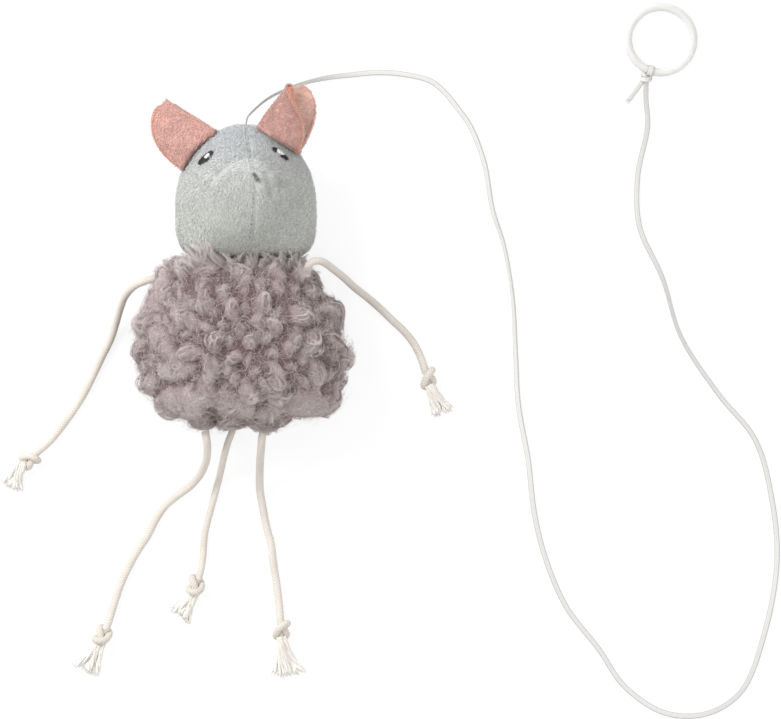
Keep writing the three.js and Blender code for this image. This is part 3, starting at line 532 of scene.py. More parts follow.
def make_tassel(name, start, heading, length, spread, yarns, diameter, material):
    """The frayed end: unplaited yarns that fan out and sink to the floor, each three plies in fine fibres."""
    steps, plies, per_yarn = 16, 3, 8
    u = np.linspace(0, 1, steps)[None, :]
    share = (np.arange(yarns)[:, None] + 0.5) / yarns - 0.5
    layer = rng.permutation(yarns)[:, None] % 3
    swing = np.radians(spread) * (share + scattered(0.04, yarns))
    angle = swing * u ** 0.8 + scattered(0.06, yarns) * u ** 2
    reach = length * MM * column(0.86, 1.0, yarns)
    wave = column(0.05, 0.3, yarns) * MM * u
    phase = column(0, 2 * np.pi, yarns)
    y = share * diameter * MM * 0.9 + reach * u * np.sin(angle) + wave * np.sin(7 * u + phase)
    drop = start[2] - (0.6 + 0.55 * layer) * MM
    z = (layer - 1) * 0.27 * diameter * MM * (1 - u) - drop * smoothstep(u, 0.08, 0.85)
    yarn = np.stack([reach * u - 1.6 * MM, y, z + wave * np.cos(6 * u + phase)], axis=-1)
    yarn = turned(yarn, heading) + start
    tangent = unit(np.gradient(yarn, axis=1))
    side = unit(np.cross(tangent, vec(0, 0, 1)))
    over = np.cross(side, tangent)

    def around(which, turn, off):
        return yarn[which] + (side[which] * np.cos(turn)[..., None] + over[which] * np.sin(turn)[..., None]) \
            * np.broadcast_to(off, turn.shape)[..., None]

    which = np.repeat(np.arange(yarns), plies)
    turn = np.tile(np.arange(plies), yarns)[:, None] * 2 * np.pi / plies + phase[which] + u * 5.5
    ply_paths = around(which, turn, table(u, ((0, 0.4), (0.5, 0.5), (1, 0.8))) * MM)
    ply_radii = np.broadcast_to(table(u, ((0, 0.5), (0.5, 0.55), (0.92, 0.56), (1, 0.3))) * MM, turn.shape)
    which = np.repeat(np.arange(yarns), per_yarn)
    count = len(which)
    turn = column(0, 2 * np.pi, count) + u * column(1.5, 4.5, count)
    off = table(u, ((0, 0.7), (0.5, 0.8), (1, 0.95))) * column(0.6, 1.05, count)
    paths = around(which, turn, (off + column(0, 1, count) ** 2 * 1.1 * u ** 3) * MM)
    paths = paths + tangent[which][:, -1:] * (column(-0.3, 1.0, count) * 1.2 * MM * u ** 3)[..., None]
    radii = np.linspace(0.13, 0.1, steps) * MM * column(0.8, 1.2, count)
    ply_paths[..., 2] = np.maximum(ply_paths[..., 2], 0.5 * MM)
    paths[..., 2] = np.maximum(paths[..., 2], 0.4 * MM)
    ply_points, ply_faces = strands(ply_paths, ply_radii, 7)
    points, faces = strands(paths, radii, 4)
    tone = np.concatenate([np.repeat(rng.uniform(0.2, 0.9, yarns * plies), steps * 7),
                           np.repeat(rng.uniform(0.3, 1, count), steps * 4)])
    along = np.concatenate([np.tile(np.repeat(u[0], sides), number)
                            for sides, number in ((7, yarns * plies), (4, count))])
    return mesh_piece(f"{name}_frayed_end", np.vstack([ply_points, points]),
                      ply_faces + [part + len(ply_points) for part in faces], name, "cotton_braid", material,
                      [f"{name}_tassel"], tone=tone, along=along)


def make_string(material):
    line = smooth_line(np.array(STRING_ROUTE) * MM, 0.5 * MM)
    twist = np.radians(table(run_of(line) / MM, STRING_TWIST))
    twist = np.convolve(np.pad(twist, 20, mode="edge"), np.ones(41) / 41, mode="valid")
    profile = ribbed_band(STRING_HALF_WIDE, 0.46 * MM, ribs=6, power=3.2, ridge=0.07, weave=0.02)
    string = tube_piece("flat_elastic", line, 1.0, 28, "head", "elastic", material, profile, ["elastic_string"],
                        turn=twist - np.pi / 2)


# ---------- the stuffed forms ----------

HEAD_CENTRE = vec(2.1, 58.0, 26.0) * MM
BODY_CENTRE = vec(0, 0, 25.5) * MM
HEAD_TURN = math.radians(6.5)
SEAM_SIDE = vec(math.cos(HEAD_TURN), 0, -math.sin(HEAD_TURN))
# Half width, half length and roundness in plan, where 2 is an ellipse.
BODY_PLAN = (45, 35.8, 2.5)
CROWN_PLAN = (29.8, 34.4, 2.0)
CHIN_PLAN = (29.8, 23.6, 4.2)
BODY_HALF_DEPTH = 26
HEAD_HALF_DEPTH = 26.5
SNOUT_REACH = 12.5
SNOUT_PITCH = math.radians(19)
SWELL_SCALE = 12.0  # the cloth solver works on a model this much larger
SWELL_FRAMES = 16


def plan_reach(x, y, half_width, half_length, roundness):
    return ((np.abs(x) / half_width) ** roundness + (np.abs(y) / half_length) ** roundness) ** (1 / roundness)


def body_radius(way):
    return MM / np.hypot(plan_reach(way[..., 0], way[..., 1], *BODY_PLAN), way[..., 2] / BODY_HALF_DEPTH)


def snout_height(x, y, z):
    up = y * math.cos(SNOUT_PITCH) - z * math.sin(SNOUT_PITCH)
    ahead = y * math.sin(SNOUT_PITCH) + z * math.cos(SNOUT_PITCH)
    sideways = np.arctan2(x, ahead) / math.radians(24)
    upwards = np.arctan2(up, ahead) / np.where(up > 0, math.radians(14), math.radians(30))
    away = np.sqrt(sideways ** 2 + upwards ** 2 + 0.4 ** 2) - 0.4
    return np.where(ahead > 0, SNOUT_REACH * np.exp(-(away ** 1.4)), 0)


def head_radius(way):
    c, s = math.cos(HEAD_TURN), math.sin(HEAD_TURN)
    x = way[..., 0] * c - way[..., 2] * s
    z = way[..., 0] * s + way[..., 2] * c
    y = way[..., 1]
    plan = np.where(y > 0, plan_reach(x, y, *CROWN_PLAN), plan_reach(x, y, *CHIN_PLAN))
    return (1 / np.hypot(plan, z / HEAD_HALF_DEPTH) + snout_height(x, y, z)) * MM


def out_of_head(points):
    """How far points are outside the head's form, and their directions from its centre."""
    away = points - HEAD_CENTRE
    way = unit(away)
    return np.linalg.norm(away, axis=-1) - head_radius(way), way


def kept_clear(points, off_head, off_floor):
    """Fur lies on the head and on the floor, not in them."""
    out, way = out_of_head(points)
    points = points + way * np.clip(off_head * MM - out, 0, None)[..., None]
    points[..., 2] = np.maximum(points[..., 2], off_floor * MM)
    return points


def ball_grid(rings, around):
    """Directions on a ball with its poles on Y, and the faces between them."""
    t, p = np.meshgrid(np.pi * np.arange(1, rings) / rings, 2 * np.pi * np.arange(around) / around, indexing="ij")
    ways = np.stack([np.sin(t) * np.cos(p), np.cos(t), -np.sin(t) * np.sin(p)], axis=-1).reshape(-1, 3)
    faces = [np.roll(part[:, ::-1], 1, axis=1) for part in ring_faces(rings - 1, around)]
    return np.vstack([ways, [0, 1, 0], [0, -1, 0]]), faces


def triangles_of(faces):
    return np.vstack([part[:, [0, k, k + 1]] for part in faces for k in range(1, part.shape[1] - 1)])


def point_normals(points, triangles):
    a, b, c = (points[triangles[:, k]] for k in range(3))
    normals = np.zeros_like(points)
    for k in range(3):
        np.add.at(normals, triangles[:, k], np.cross(b - a, c - a))
    return unit(normals)


def scatter(points, faces, count, keep=None):
    """Random places on a surface, evenly by area, with their normals."""
    triangles = triangles_of(faces)
    normals = point_normals(points, triangles)
    a, b, c = (points[triangles[:, k]] for k in range(3))
    area = np.linalg.norm(np.cross(b - a, c - a), axis=1)
    if keep:
        area = area * keep((a + b + c) / 3)
    pick = rng.choice(len(triangles), count, p=area / area.sum())
    u, v = rng.random((2, count, 1))
    over = u + v > 1
    u, v = np.where(over, 1 - u, u), np.where(over, 1 - v, v)
    shares = (1 - u - v, u, v)
    spots = sum(corner[pick] * share for corner, share in zip((a, b, c), shares))
    return spots, unit(sum(normals[triangles[pick, k]] * share for k, share in enumerate(shares)))


def swell(points, faces, pinned, cap):
    """Cloth under pressure, held where pinned. No point moves further than the cap."""
    scene = bpy.context.scene
    mesh = bpy.data.meshes.new("swelling")
    mesh.from_pydata((points * SWELL_SCALE).tolist(), [], [f for part in faces for f in part.tolist()])
    piece = bpy.data.objects.new("swelling", mesh)
    scene.collection.objects.link(piece)
    group = piece.vertex_groups.new(name="held")
    for weight in (0.25, 0.5, 0.75, 1.0):
        group.add(np.nonzero(pinned >= weight)[0].tolist(), weight, "REPLACE")
    cloth = piece.modifiers.new("cloth", "CLOTH")
    settings = {"quality": 6, "mass": 0.2, "use_pressure": True, "uniform_pressure_force": 6.0,
                "vertex_group_mass": "held", "tension_stiffness": 20, "bending_stiffness": 2}
    for key, value in settings.items():
        setattr(cloth.settings, key, value)
    cloth.settings.effector_weights.gravity = 0
    cloth.point_cache.frame_start = 1
    cloth.point_cache.frame_end = SWELL_FRAMES
    for number in range(1, SWELL_FRAMES + 1):
        scene.frame_set(number)
    result = piece.evaluated_get(bpy.context.evaluated_depsgraph_get()).data
    moved = np.empty(len(points) * 3, dtype=np.float32)
    result.vertices.foreach_get("co", moved)
    step = moved.reshape(-1, 3) / SWELL_SCALE - points
    bpy.data.objects.remove(piece)
    bpy.data.meshes.remove(mesh)
    scene.frame_set(1)
    return points + step * np.minimum(1, cap / np.maximum(np.linalg.norm(step, axis=1, keepdims=True), 1e-9))


def lean_paths(roots, normals, flow, length, wander=0.35):
    """Short fibres that rise from a surface and lean along a flow."""
    count = len(roots)
    flow = unit(flow - normals * np.sum(flow * normals, axis=1, keepdims=True))
    swing = scattered(wander, count)
    way = flow * np.cos(swing) + np.cross(normals, flow) * np.sin(swing)
    lean = np.clip(1.15 + scattered(0.12, count), 0, 1.5)
    step = length * column(0.7, 1.2, count) / 2
    path = [roots - normals * 0.2 * MM]
    for share in (0.55, 1.3):
        path.append(path[-1] + (normals * np.cos(lean * share) + way * np.sin(lean * share)) * step)
    return np.stack(path, axis=1)


# ---------- head ----------

# Lines of the face in pixels of the photograph: over the snout, its rim, and a crease on its right.
VALLEY = [(208, 190), (218, 177), (229, 166.5), (242, 159.5), (256, 158.5), (269, 164), (280, 174), (285, 186)]
RIM = [(217, 188), (225, 180.5), (233, 174), (241, 168.5), (250, 165.5), (261, 166.5), (270, 173), (276, 181)]
FOLD = [(266, 176), (269, 183), (271, 190), (271.5, 198)]
PILE_COUNT = 38000


def seam_distance(points):
    return np.abs((points - HEAD_CENTRE) @ SEAM_SIDE) / MM


def near_lines(points, *lines):
    """How near points on the front are to lines of the face, each with a weight and a width in pixels."""
    places = np.stack([points[:, 0] / PIXEL + TORSO_PIXEL[0], TORSO_PIXEL[1] - points[:, 1] / PIXEL], axis=-1)
    total = np.zeros(len(points))
    for line, weight, width in lines:
        best = np.full(len(points), np.inf)
        for a, b in zip(np.array(line[:-1], float), np.array(line[1:], float)):
            t = np.clip(((places - a) @ (b - a)) / ((b - a) @ (b - a)), 0, 1)
            best = np.minimum(best, np.linalg.norm(places - a - t[:, None] * (b - a), axis=-1))
        total += weight * bell(best, width)
    return total * smoothstep(points[:, 2] / MM, 12, 24)


def head_form():
    ways, faces = ball_grid(110, 168)
    points = HEAD_CENTRE + ways * (head_radius(ways) - 0.9 * MM)[:, None]
    off = seam_distance(points)
    held = np.maximum(bell(off, 0.8), smoothstep(-ways[:, 1], 0.86, 0.97))
    points = swell(points, faces, held, 0.45 * MM)
    seam = 0.38 * bell(off, 0.75) + 0.16 * bell(off, 2.6) * np.cos(points[:, 1] / MM * 2 * np.pi / 2.6)
    crease = near_lines(points, (VALLEY, 2.0, 6.5), (RIM, -1.5, 3.8), (FOLD, 1.0, 2.0))
    lumps = 0.28 * layered_noise(points / (11 * MM), 3, 5)
    points = points - point_normals(points, triangles_of(faces)) * ((seam + crease - lumps) * MM)[:, None]
    points[:, 2] = np.maximum(points[:, 2], 0.35 * MM)
    return points, faces


def head_flow(points):
    """The lie of the pile: away from the nose with a swirl, and up over the forehead."""
    out = unit(points - vec(6.4, 71.1, 63.6) * MM)
    turn = (0.75 * layered_noise(points / (7 * MM), 2, 31) + 0.35)[:, None]
    return out * np.cos(turn) + np.cross(vec(0, 0, 1), out) * np.sin(turn) + 1e-6


def height_tint(tree):
    """The colour is a little darker and bluer towards the forehead, and warmer round the snout and chin."""
    split = add_node(tree, "ShaderNodeSeparateXYZ")
    tree.links.new(object_place(tree), split.inputs[0])
    spread = add_node(tree, "ShaderNodeMapRange")
    spread.inputs["From Min"].default_value = 0.040
    spread.inputs["From Max"].default_value = 0.088
    tree.links.new(split.outputs["Y"], spread.inputs["Value"])
    return ramp_of(tree, spread.outputs["Result"], ((0.0, (1.0, 0.985, 0.94)), (0.6, (0.99, 0.98, 0.95)),
                                                    (1.0, (0.87, 0.87, 0.9))))


def make_head():
    velour = new_material("velour", (
        ((60, 4), ((0.25, srgb(194, 200, 197)), (0.55, srgb(211, 215, 213)), (0.8, srgb(220, 223, 225)))),
        ((1500, 3), ((0.3, grey(0.78)), (0.7, grey(1)))),
    ), (1900, 3, 0.6, 0.0006), height_tint, roughness=0.9, specular=0.15, sheen=0.3, sheen_spread=0.45)
    pile = fibre_material("velour_pile", srgb(210, 214, 214), srgb(244, 246, 246), spread=0.15, sheen=0.35,
                          tint=height_tint)
    points, faces = head_form()
    cover = mesh_piece("head_velour_cover", points, faces, "head", "velour", velour,
                       ["head_left_panel", "head_right_panel", "head_stuffing"])

    def keep(middle):
        return (middle[:, 1] >= 36.5 * MM) & (middle[:, 2] >= 0.8 * MM) & (seam_distance(middle) > 0.5)

    roots, normals = scatter(points, faces, PILE_COUNT, keep)
    paths = lean_paths(roots, normals, head_flow(roots), 1.8 * MM)
    paths[..., 2] = np.maximum(paths[..., 2], 0.12 * MM)
    # Pile tones: a painted highlight along the lit left part of the snout's rim, painted shade in the valley over the
    # snout and in the crease on its right, and random tone.
    lit_left_side = smoothstep(270 - roots[:, 0] / PIXEL - TORSO_PIXEL[0], 0, 30)
    painted_light_and_shade = near_lines(roots, (RIM, 0.35 * lit_left_side, 3.4), (VALLEY, -0.3, 5), (FOLD, -0.5, 1.8))
    tones = 0.62 + painted_light_and_shade + 0.25 * value_noise(roots / (1.3 * MM), 77) + rng.normal(0, 0.16, len(roots))
    tones = np.clip(tones, 0, 1)
    for number, part in enumerate(np.array_split(np.arange(len(roots)), 2)):
        fibres(f"head_velour_pile_{number + 1}", paths[part], 0.17, "head", "velour", pile, tones[part])
    return BVHTree.FromPolygons(points.tolist(), triangles_of(faces).tolist())


def thread_rows(name, surface, rows, thickness, slot, material, rise, stands_for=()):
    """Satin stitches: each row is a pair of photo places that one thread spans in a low arch."""
    paths = []
    for start, end in rows:
        for t in np.linspace(0, 1, 7):
            px, py = (a + (b - a) * t for a, b in zip(start, end))
            spot, normal, _, _ = surface.ray_cast(photo_point(px, py, 0.2), Vector((0, 0, -1)))
            lift = (rise + 0.22 * math.sin(math.pi * t) - 0.55 * abs(2 * t - 1) ** 8) * MM
            paths.append(spot + normal * lift)
    paths = np.array(paths).reshape(-1, 7, 3)
    radii = np.full(paths.shape[:2], thickness * MM / 2) * (0.7, 1, 1, 1, 1, 1, 0.7)
    points, faces = strands(paths, radii, 6)
    mesh_piece(name, points, faces, "head", slot, material, stands_for)


def satin(start, end, width, spacing=0.45, slant=0.25):
    """Rows of stitches that fill an almond between two photo places."""
    start, long = np.array(start), np.subtract(end, start)
    length = np.linalg.norm(long)
    ahead = long / length
    side = np.array([-ahead[1], ahead[0]])
    rows = []
    for t in np.arange(spacing / 2, length, spacing):
        half = width / 2 * (1 - abs(2 * t / length - 1) ** 2.2) ** 0.8 + 0.4
        ragged = rng.normal(0, 0.25, 2)
        middle = start + ahead * t
        rows.append((middle - side * (half + ragged[0]) - ahead * slant * half,
                     middle + side * (half + ragged[1]) + ahead * slant * half))
    return rows


def seam_rows(line, pitch, length, step=0.2):
    """Stitches along a seam, with their pitch and length in pixels."""
    flat = even_line(np.column_stack([np.array(line), np.zeros(len(line))]), step)[:, :2]
    reach = int(length / step)
    return [(flat[k], flat[k + reach]) for k in range(0, len(flat) - reach, int(pitch / step))]


def make_face(surface):
    black = thread_material("black_embroidery", srgb(9, 8, 10), srgb(28, 27, 30))
    white = thread_material("white_embroidery", srgb(214, 214, 218), srgb(246, 246, 248))
    dull = thread_material("grey_embroidery", srgb(96, 101, 99), srgb(132, 137, 135), 0.8)
    pale = thread_material("seam_thread", srgb(206, 211, 212), srgb(232, 236, 237), 0.7)
    for node, colour, material, rise, fills in (
        ("left_eye", "black", black, 0.85, [((201.6, 167.0), (215.0, 154.2), 5.7)]),
        ("left_eye_glint", "white", white, 1.12, [((208.4, 161.8), (212.2, 157.2), 2.6, 0.45, 0.6)]),
        ("right_eye", "black", black, 0.85, [
            ((273.2, 151.2), (279.0, 154.6), 2.6), ((283.0, 157.8), (287.8, 162.6), 1.7),
            ((280.8, 158.4), (283.4, 160.2), 0.9, 0.6)]),
        ("right_eye_glint", "white", white, 1.05, [((277.2, 153.4), (283.8, 158.2), 2.4)]),
    ):
        rows = [row for fill in fills for row in satin(*fill)]
        thread_rows(f"{node}_stitches", surface, rows, 0.3, f"{colour}_thread", material, rise, [node])
    rows = [((253.8 + 0.5 * k, 176.8 + 0.75 * k), (256.4 + 0.6 * k, 175.8 + 0.75 * k)) for k in range(10)]
    thread_rows("nose_stitches", surface, rows, 0.36, "grey_thread", dull, 1.0, ["nose"])
    rows = seam_rows([(244.9, 131), (246.3, 147), (250, 165.6), (255.4, 172)], 2.6, 2.1)
    thread_rows("head_seam_stitches_upper", surface, rows, 0.28, "velour", pale, 0.7)
    rows = seam_rows([(255.8, 196), (253.2, 228), (250, 244), (248.6, 256)], 4.2, 1.7)
    thread_rows("head_seam_stitches_lower", surface, rows, 0.26, "grey_thread", dull, 0.25)


# ---------- ears ----------

# Where the fold starts, the headings of fold and flaps, and the size. Then, in millimetres along the ear,
# the angles of both flaps, how far each part of the sheet reaches, and where its base lies on the head.
EAR_FACTS = {
    "left_ear": {
        "fold_start": (-9.90, 88.60, 32.00), "fold": 147.6, "flap": 237.6, "length": 26.9, "width": 21.2,
        "front": ((0, 3), (13, 5), (27, 9)), "back": ((0, -4), (27, -6)),
        "reach": ((-0.16, 26.9), (0.16, 26.9)), "drop": (1.6, 1.6), "lean": 0.2,
        "base": ((0, 1.0), (6, 3.2), (11.3, 4.4), (16.2, 4.4), (21, 4.1)),
    },
    "right_ear": {
        "fold_start": (6.70, 89.80, 35.23), "fold": 57.8, "flap": -32.2, "length": 26.4, "width": 20.4,
        "front": ((0, 5), (27, 4)),
        "back": ((0, -12), (7, -22), (10, -29), (12.8, -38), (15.7, -50), (17.9, -61), (19.5, -70), (22, -80)),
        "reach": ((-0.9, 21.9), (-0.35, 23.8), (-0.16, 24.3), (0.16, 25.9)), "drop": (1.2, 2.2), "lean": 2.4,
        "base": ((0, 0.7), (4.2, 0.8), (7.9, 1.0), (12, 1.3), (16, 1.6), (20, 2.0)),
    },
}
FOLD_PART = 0.16
EAR_ROUNDNESS = 2.6
OVERLOCK_STEP = 0.12


def ear_surface(facts, radius, along, out_share):
    """A face of the folded plush. out_share runs from -1, the back rim, over the fold to 1."""
    length, width = facts["length"], facts["width"]
    reach = np.clip(along, 0, None) / length
    along = np.where(along > 0, along * table(out_share, facts["reach"]) / length, along)
    rim = width * np.clip(1 - reach ** EAR_ROUNDNESS, 0, 1) ** (1 / EAR_ROUNDNESS)
    front, back = (np.radians(table(along, facts[key])) for key in ("front", "back"))
    on_fold = np.clip(out_share / FOLD_PART, -1, 1) * 0.5 + 0.5
    normal = (1.5 * np.pi + back) * (1 - on_fold) + (0.5 * np.pi + front) * on_fold
    angle = np.where(out_share > 0, front, back)
    out = rim * np.clip((np.abs(out_share) - FOLD_PART) / (1 - FOLD_PART), 0, 1)
    share = out / width
    bow = (1.1 * np.sin(np.pi * np.clip(share, 0, 1)) - 1.2 * share ** 3) * np.where(out_share > 0, 1, -1)
    y = radius * np.cos(normal) + out * np.cos(angle) - bow * np.sin(angle) \
        + (2.3 + facts["lean"] * reach ** 2) * (1 - share)
    z = radius * np.sin(normal) + out * np.sin(angle) + bow * np.cos(angle)
    drop = facts["drop"][0] * (1 - on_fold) + facts["drop"][1] * on_fold
    along = along - drop * bell(out, 1.8) * smoothstep(reach, 0.6, 1)
    base = table(out, facts["base"])
    dive = np.clip(base - along, 0, None)
    towards_head = 2.2 * dive * (-1 if facts["fold"] > 90 else 1)
    return np.stack([np.maximum(along, base - 0.4 * dive), y, z + towards_head], axis=-1)


def ear_sheet(facts, outer, inner, rows=44, columns=49):
    """Both faces of one layer and the wall between them: points, and the quads of each."""
    along = -1.0 + (facts["length"] + 1.0) * np.sin(np.linspace(0, 1, rows) * np.pi / 2) ** 0.8
    along, out = np.meshgrid(along, np.linspace(-1, 1, columns), indexing="ij")
    top, low = (ear_surface(facts, radius, along, out) for radius in (outer, inner))
    ripple = 0.14 * layered_noise(top / 4.5, 2, 61)[..., None]
    top = top + (top - low) / 2 * ripple
    here = np.arange(rows * columns).reshape(rows, columns)
    quads = np.stack([here[:-1, :-1], here[:-1, 1:], here[1:, 1:], here[1:, :-1]], axis=-1).reshape(-1, 4)
    rim = np.concatenate([here[0, :-1], here[:-1, -1], here[-1, :0:-1], here[:0:-1, 0]])
    after, under = np.roll(rim, -1), rows * columns
    wall = np.stack([rim, rim + under, after + under, after], axis=-1)
    return np.vstack([top.reshape(-1, 3), low.reshape(-1, 3)]), [quads, (quads + under)[:, ::-1], wall]


def plush_material(name, *colours, share=1.0):
    stops = [(place, srgb(*(min(255, share * c) for c in colour))) for place, colour in zip((0.25, 0.5, 0.8), colours)]
    return new_material(name, (((170, 4), stops), ((1700, 3), ((0.3, (0.84, 0.81, 0.81)), (0.7, grey(1))))),
                        (2100, 3, 0.4, 0.0004), roughness=0.9, specular=0.15, sheen=0.2, sheen_spread=0.45)


def make_ear(name, stitch, layers):
    """An outer layer and a lining, each a folded sheet with its pile, and an overlock on both rims."""
    facts = EAR_FACTS[name]
    length, width = facts["length"], facts["width"]
    fold, flap = ((math.cos(math.radians(facts[key])), math.sin(math.radians(facts[key])), 0)
                  for key in ("fold", "flap"))
    axes = np.stack([fold, flap, np.cross(fold, flap)])
    start = np.array(facts["fold_start"]) * MM

    def world(points):
        return start + points @ axes * MM

    for layer, slot, radii, cloth, pile, count, high in layers:
        points, faces = ear_sheet(facts, *radii)
        points = world(points)
        a, b, c = (points[triangles_of(faces)[:, k]] for k in range(3))
        if np.sum(np.cross(b, c) * a) < 0:
            faces = [part[:, ::-1] for part in faces]
        sheet = mesh_piece(f"{name}_{layer}_plush", points, faces, name, slot, cloth, [f"{name}_{layer}"])
        outer = layer == "outer"
        roots, normals = scatter(points, [faces[0 if outer else 1]], count)
        local = (roots - start) @ axes.T / MM
        if outer:
            flow = axes[0] * 0.75 + axes[1] * 0.65 + 0.35 * rng.normal(size=(count, 3)) \
                + value_noise(roots / (5 * MM), 19)[:, None] * 0.5 * axes[1]
        else:
            flow = (local - vec(4, 6, 0)) @ axes
        paths = lean_paths(roots, normals, flow, high * MM, wander=0.25)
        streaks = value_noise(local * (vec(0.35, 1.1, 0.6) if outer else vec(1.3, 0.4, 1.0)), 41)
        clouds = layered_noise(roots / (6.5 * MM), 2, 43)
        # The pile is darker near the head and lighter towards the tip: painted shade at the ear's base.
        painted_shade_near_head = 0.32 * np.exp(-np.clip(local[:, 0], 0, None) / 5) - 0.12
        tones = np.clip(0.58 - painted_shade_near_head + 0.38 * streaks + 0.34 * clouds + rng.normal(0, 0.11, count), 0, 1)
        fibres(f"{name}_{layer}_pile", paths, 0.18, name, slot, pile, tones)

    for side, where in ((1, "front"), (-1, "back")):
        along = length * np.sin(np.linspace(0.02, 1, 400) ** 0.9 * np.pi / 2)
        edge = np.full(along.shape, float(side))
        rim = world((ear_surface(facts, 2.7, along, edge) + ear_surface(facts, 0.6, along, edge)) / 2)
        rim = even_line(rim, OVERLOCK_STEP * MM)
        inner = even_line(world(ear_surface(facts, 1.65, along * 0.93, edge * 0.93)), OVERLOCK_STEP * MM)
        inner = inner[np.linspace(0, len(inner) - 1, len(rim)).astype(int)]
        inside = unit(inner - rim)
        face = unit(np.cross(unit(np.gradient(rim, axis=0)), inside))
        turn = (np.arange(len(rim)) * OVERLOCK_STEP / 1.15 * 2 * np.pi)[:, None]
        loop = rim + (inside * (0.75 - 0.85 * np.cos(turn)) + face * 1.3 * np.sin(turn)) * MM
        tube_piece(f"{name}_overlock_{where}", even_line(loop, 0.16 * MM), 0.13 * MM, 5, name, "pink_plush", stitch)


def make_ears():
    lining = plush_material("pink_lining_cloth", (246, 196, 178), (252, 211, 196), (255, 229, 217))
    lining_pile = fibre_material("lining_pile", srgb(253, 212, 197), srgb(255, 238, 228), spread=0.2)
    stitch = thread_material("overlock_thread", srgb(196, 112, 82), srgb(226, 146, 112), 0.6)
    # The left ear's cloth and pile are the right ear's, made 1.07 times lighter: painted light on the ear that lies in
    # the light.
    for name, share in (("left_ear", 1.07), ("right_ear", 1.0)):
        cloth = plush_material(f"{name}_plush_cloth", (204, 158, 147), (219, 173, 162), (230, 189, 180), share=share)
        root, tip = (srgb(*(share * c for c in colour)) for colour in ((218, 174, 164), (230, 194, 185)))
        pile = fibre_material(f"{name}_pile", root, tip, spread=0.13, sheen=0.3)
        make_ear(name, stitch, (("outer", "pink_plush", (2.7, 1.7), cloth, pile, 7400, 1.3),
                                ("lining", "pink_lining", (1.4, 0.6), lining, lining_pile, 4600, 1.1)))


# ---------- body ----------

# The outline of the fur in pixels of the photograph.
SILHOUETTE = [
    (156, 264), (156, 275), (153, 289), (146.5, 300.6), (133, 316), (128.4, 325), (132.7, 337), (128.4, 356),
    (136, 373), (143, 395), (152, 406), (164, 414), (181, 425), (196, 428), (219, 430), (234, 426), (250, 425),
    (260, 428), (269.6, 434), (281, 426), (298, 419), (315, 420), (332, 421), (344.5, 418), (350, 404),
    (346, 390), (349, 373), (355, 357), (348, 340), (340, 319.5), (343, 304), (331, 294), (320, 283),
    (315, 270), (306.6, 261),
]
# Locks listed where the photograph shows them: photo place, heading and half sizes in millimetres.
KEY_LOCKS = [
    ((170, 267), 104, 7.5, 3.8, 5.6), ((159, 273), 116, 7.5, 3.4, 5.2), ((148, 289), 146, 7.0, 3.8, 5.0),
    ((188, 276), 60, 6.5, 4.0, 5.4), ((212, 274), 20, 6.5, 4.0, 4.8), ((240, 274), -30, 6.5, 4.2, 4.4),
    ((300, 276), 60, 5.5, 3.8, 5.4), ((314, 286), -20, 6.5, 4.4, 4.8), ((184, 318), 150, 8.5, 5.2, 5.6),
    ((137, 350), 185, 6.5, 4.4, 5.0), ((147, 388), 215, 6.5, 4.2, 5.0), ((338, 340), -15, 6.5, 4.4, 5.0),
    ((334, 306), 20, 6.5, 4.0, 5.0), ((270, 418), 275, 6.5, 4.2, 5.0), ((232, 410), 262, 6.5, 4.4, 4.6),
    ((180, 408), 240, 6.5, 4.2, 4.8), ((306, 408), 282, 6.0, 4.0, 4.8),
    ((161, 344), 170, 7.5, 4.4, 4.0), ((213, 343), 80, 5.8, 5.0, 5.2), ((233, 310), 100, 5.6, 4.6, 4.8),
    ((265, 304), 70, 5.6, 4.6, 4.8), ((252, 343), 105, 4.6, 3.9, 4.8), ((279, 326), 95, 5.4, 4.4, 4.4),
    ((176, 372), 200, 8.0, 4.8, 4.4), ((296, 344), 60, 6.0, 4.8, 4.2), ((236, 358), 190, 4.6, 3.6, 4.4),
    ((341, 398), 290, 6.0, 2.6, 3.4), ((205, 392), 250, 7.0, 4.6, 4.2), ((322, 372), 300, 6.4, 4.8, 4.0),
]
# Locks that reach over the chin and the root of the right arm: photo places, bow and half width.
BRIDGES = [
    ((238, 268), (205, 246), 1.5, 1.5), ((229, 269), (197, 246), 1.2, 1.7), ((217, 270), (190, 250), 0.8, 1.6),
    ((206, 271), (184, 255), 0.6, 1.5), ((196, 272), (208, 247), -1.2, 1.4), ((190, 272), (181, 257), -0.6, 1.4),
    ((250, 270), (222, 255), 1.2, 1.3), ((262, 269), (246, 257), 0.6, 1.5), ((286, 271), (276, 256), 0.5, 1.6),
    ((272, 270), (262, 256), 0.5, 1.6), ((296, 271), (290, 255.5), 0.5, 1.6), ((256, 269), (252, 256), -0.5, 1.5),
    ((243, 268), (236, 256), 0.4, 1.6), ((267, 267), (271, 255.5), -0.5, 1.6), ((279, 268), (284, 255), -0.6, 1.6),
    ((290, 269), (297, 255), -0.6, 1.6), ((302, 270), (301, 257), 0.4, 1.5), ((249, 268), (258, 256.5), -0.6, 1.5),
    ((301, 283), (309, 269), 0.8, 1.5), ((296, 277), (303, 263), -0.8, 1.4), ((312, 282), (306, 270), 0.5, 1.3),
]
# Large locks, then small ones between them: gap, tries, half lengths and heights.
LOCK_SIZES = ((10.4, 3000, (6.0, 8.6), (4.3, 6.2)), (6.2, 5200, (3.2, 4.8), (0.6, 1.5)))
FUR_SINK = 3.3
PER_CLUMP = 15  # fibres in each clump of a lock


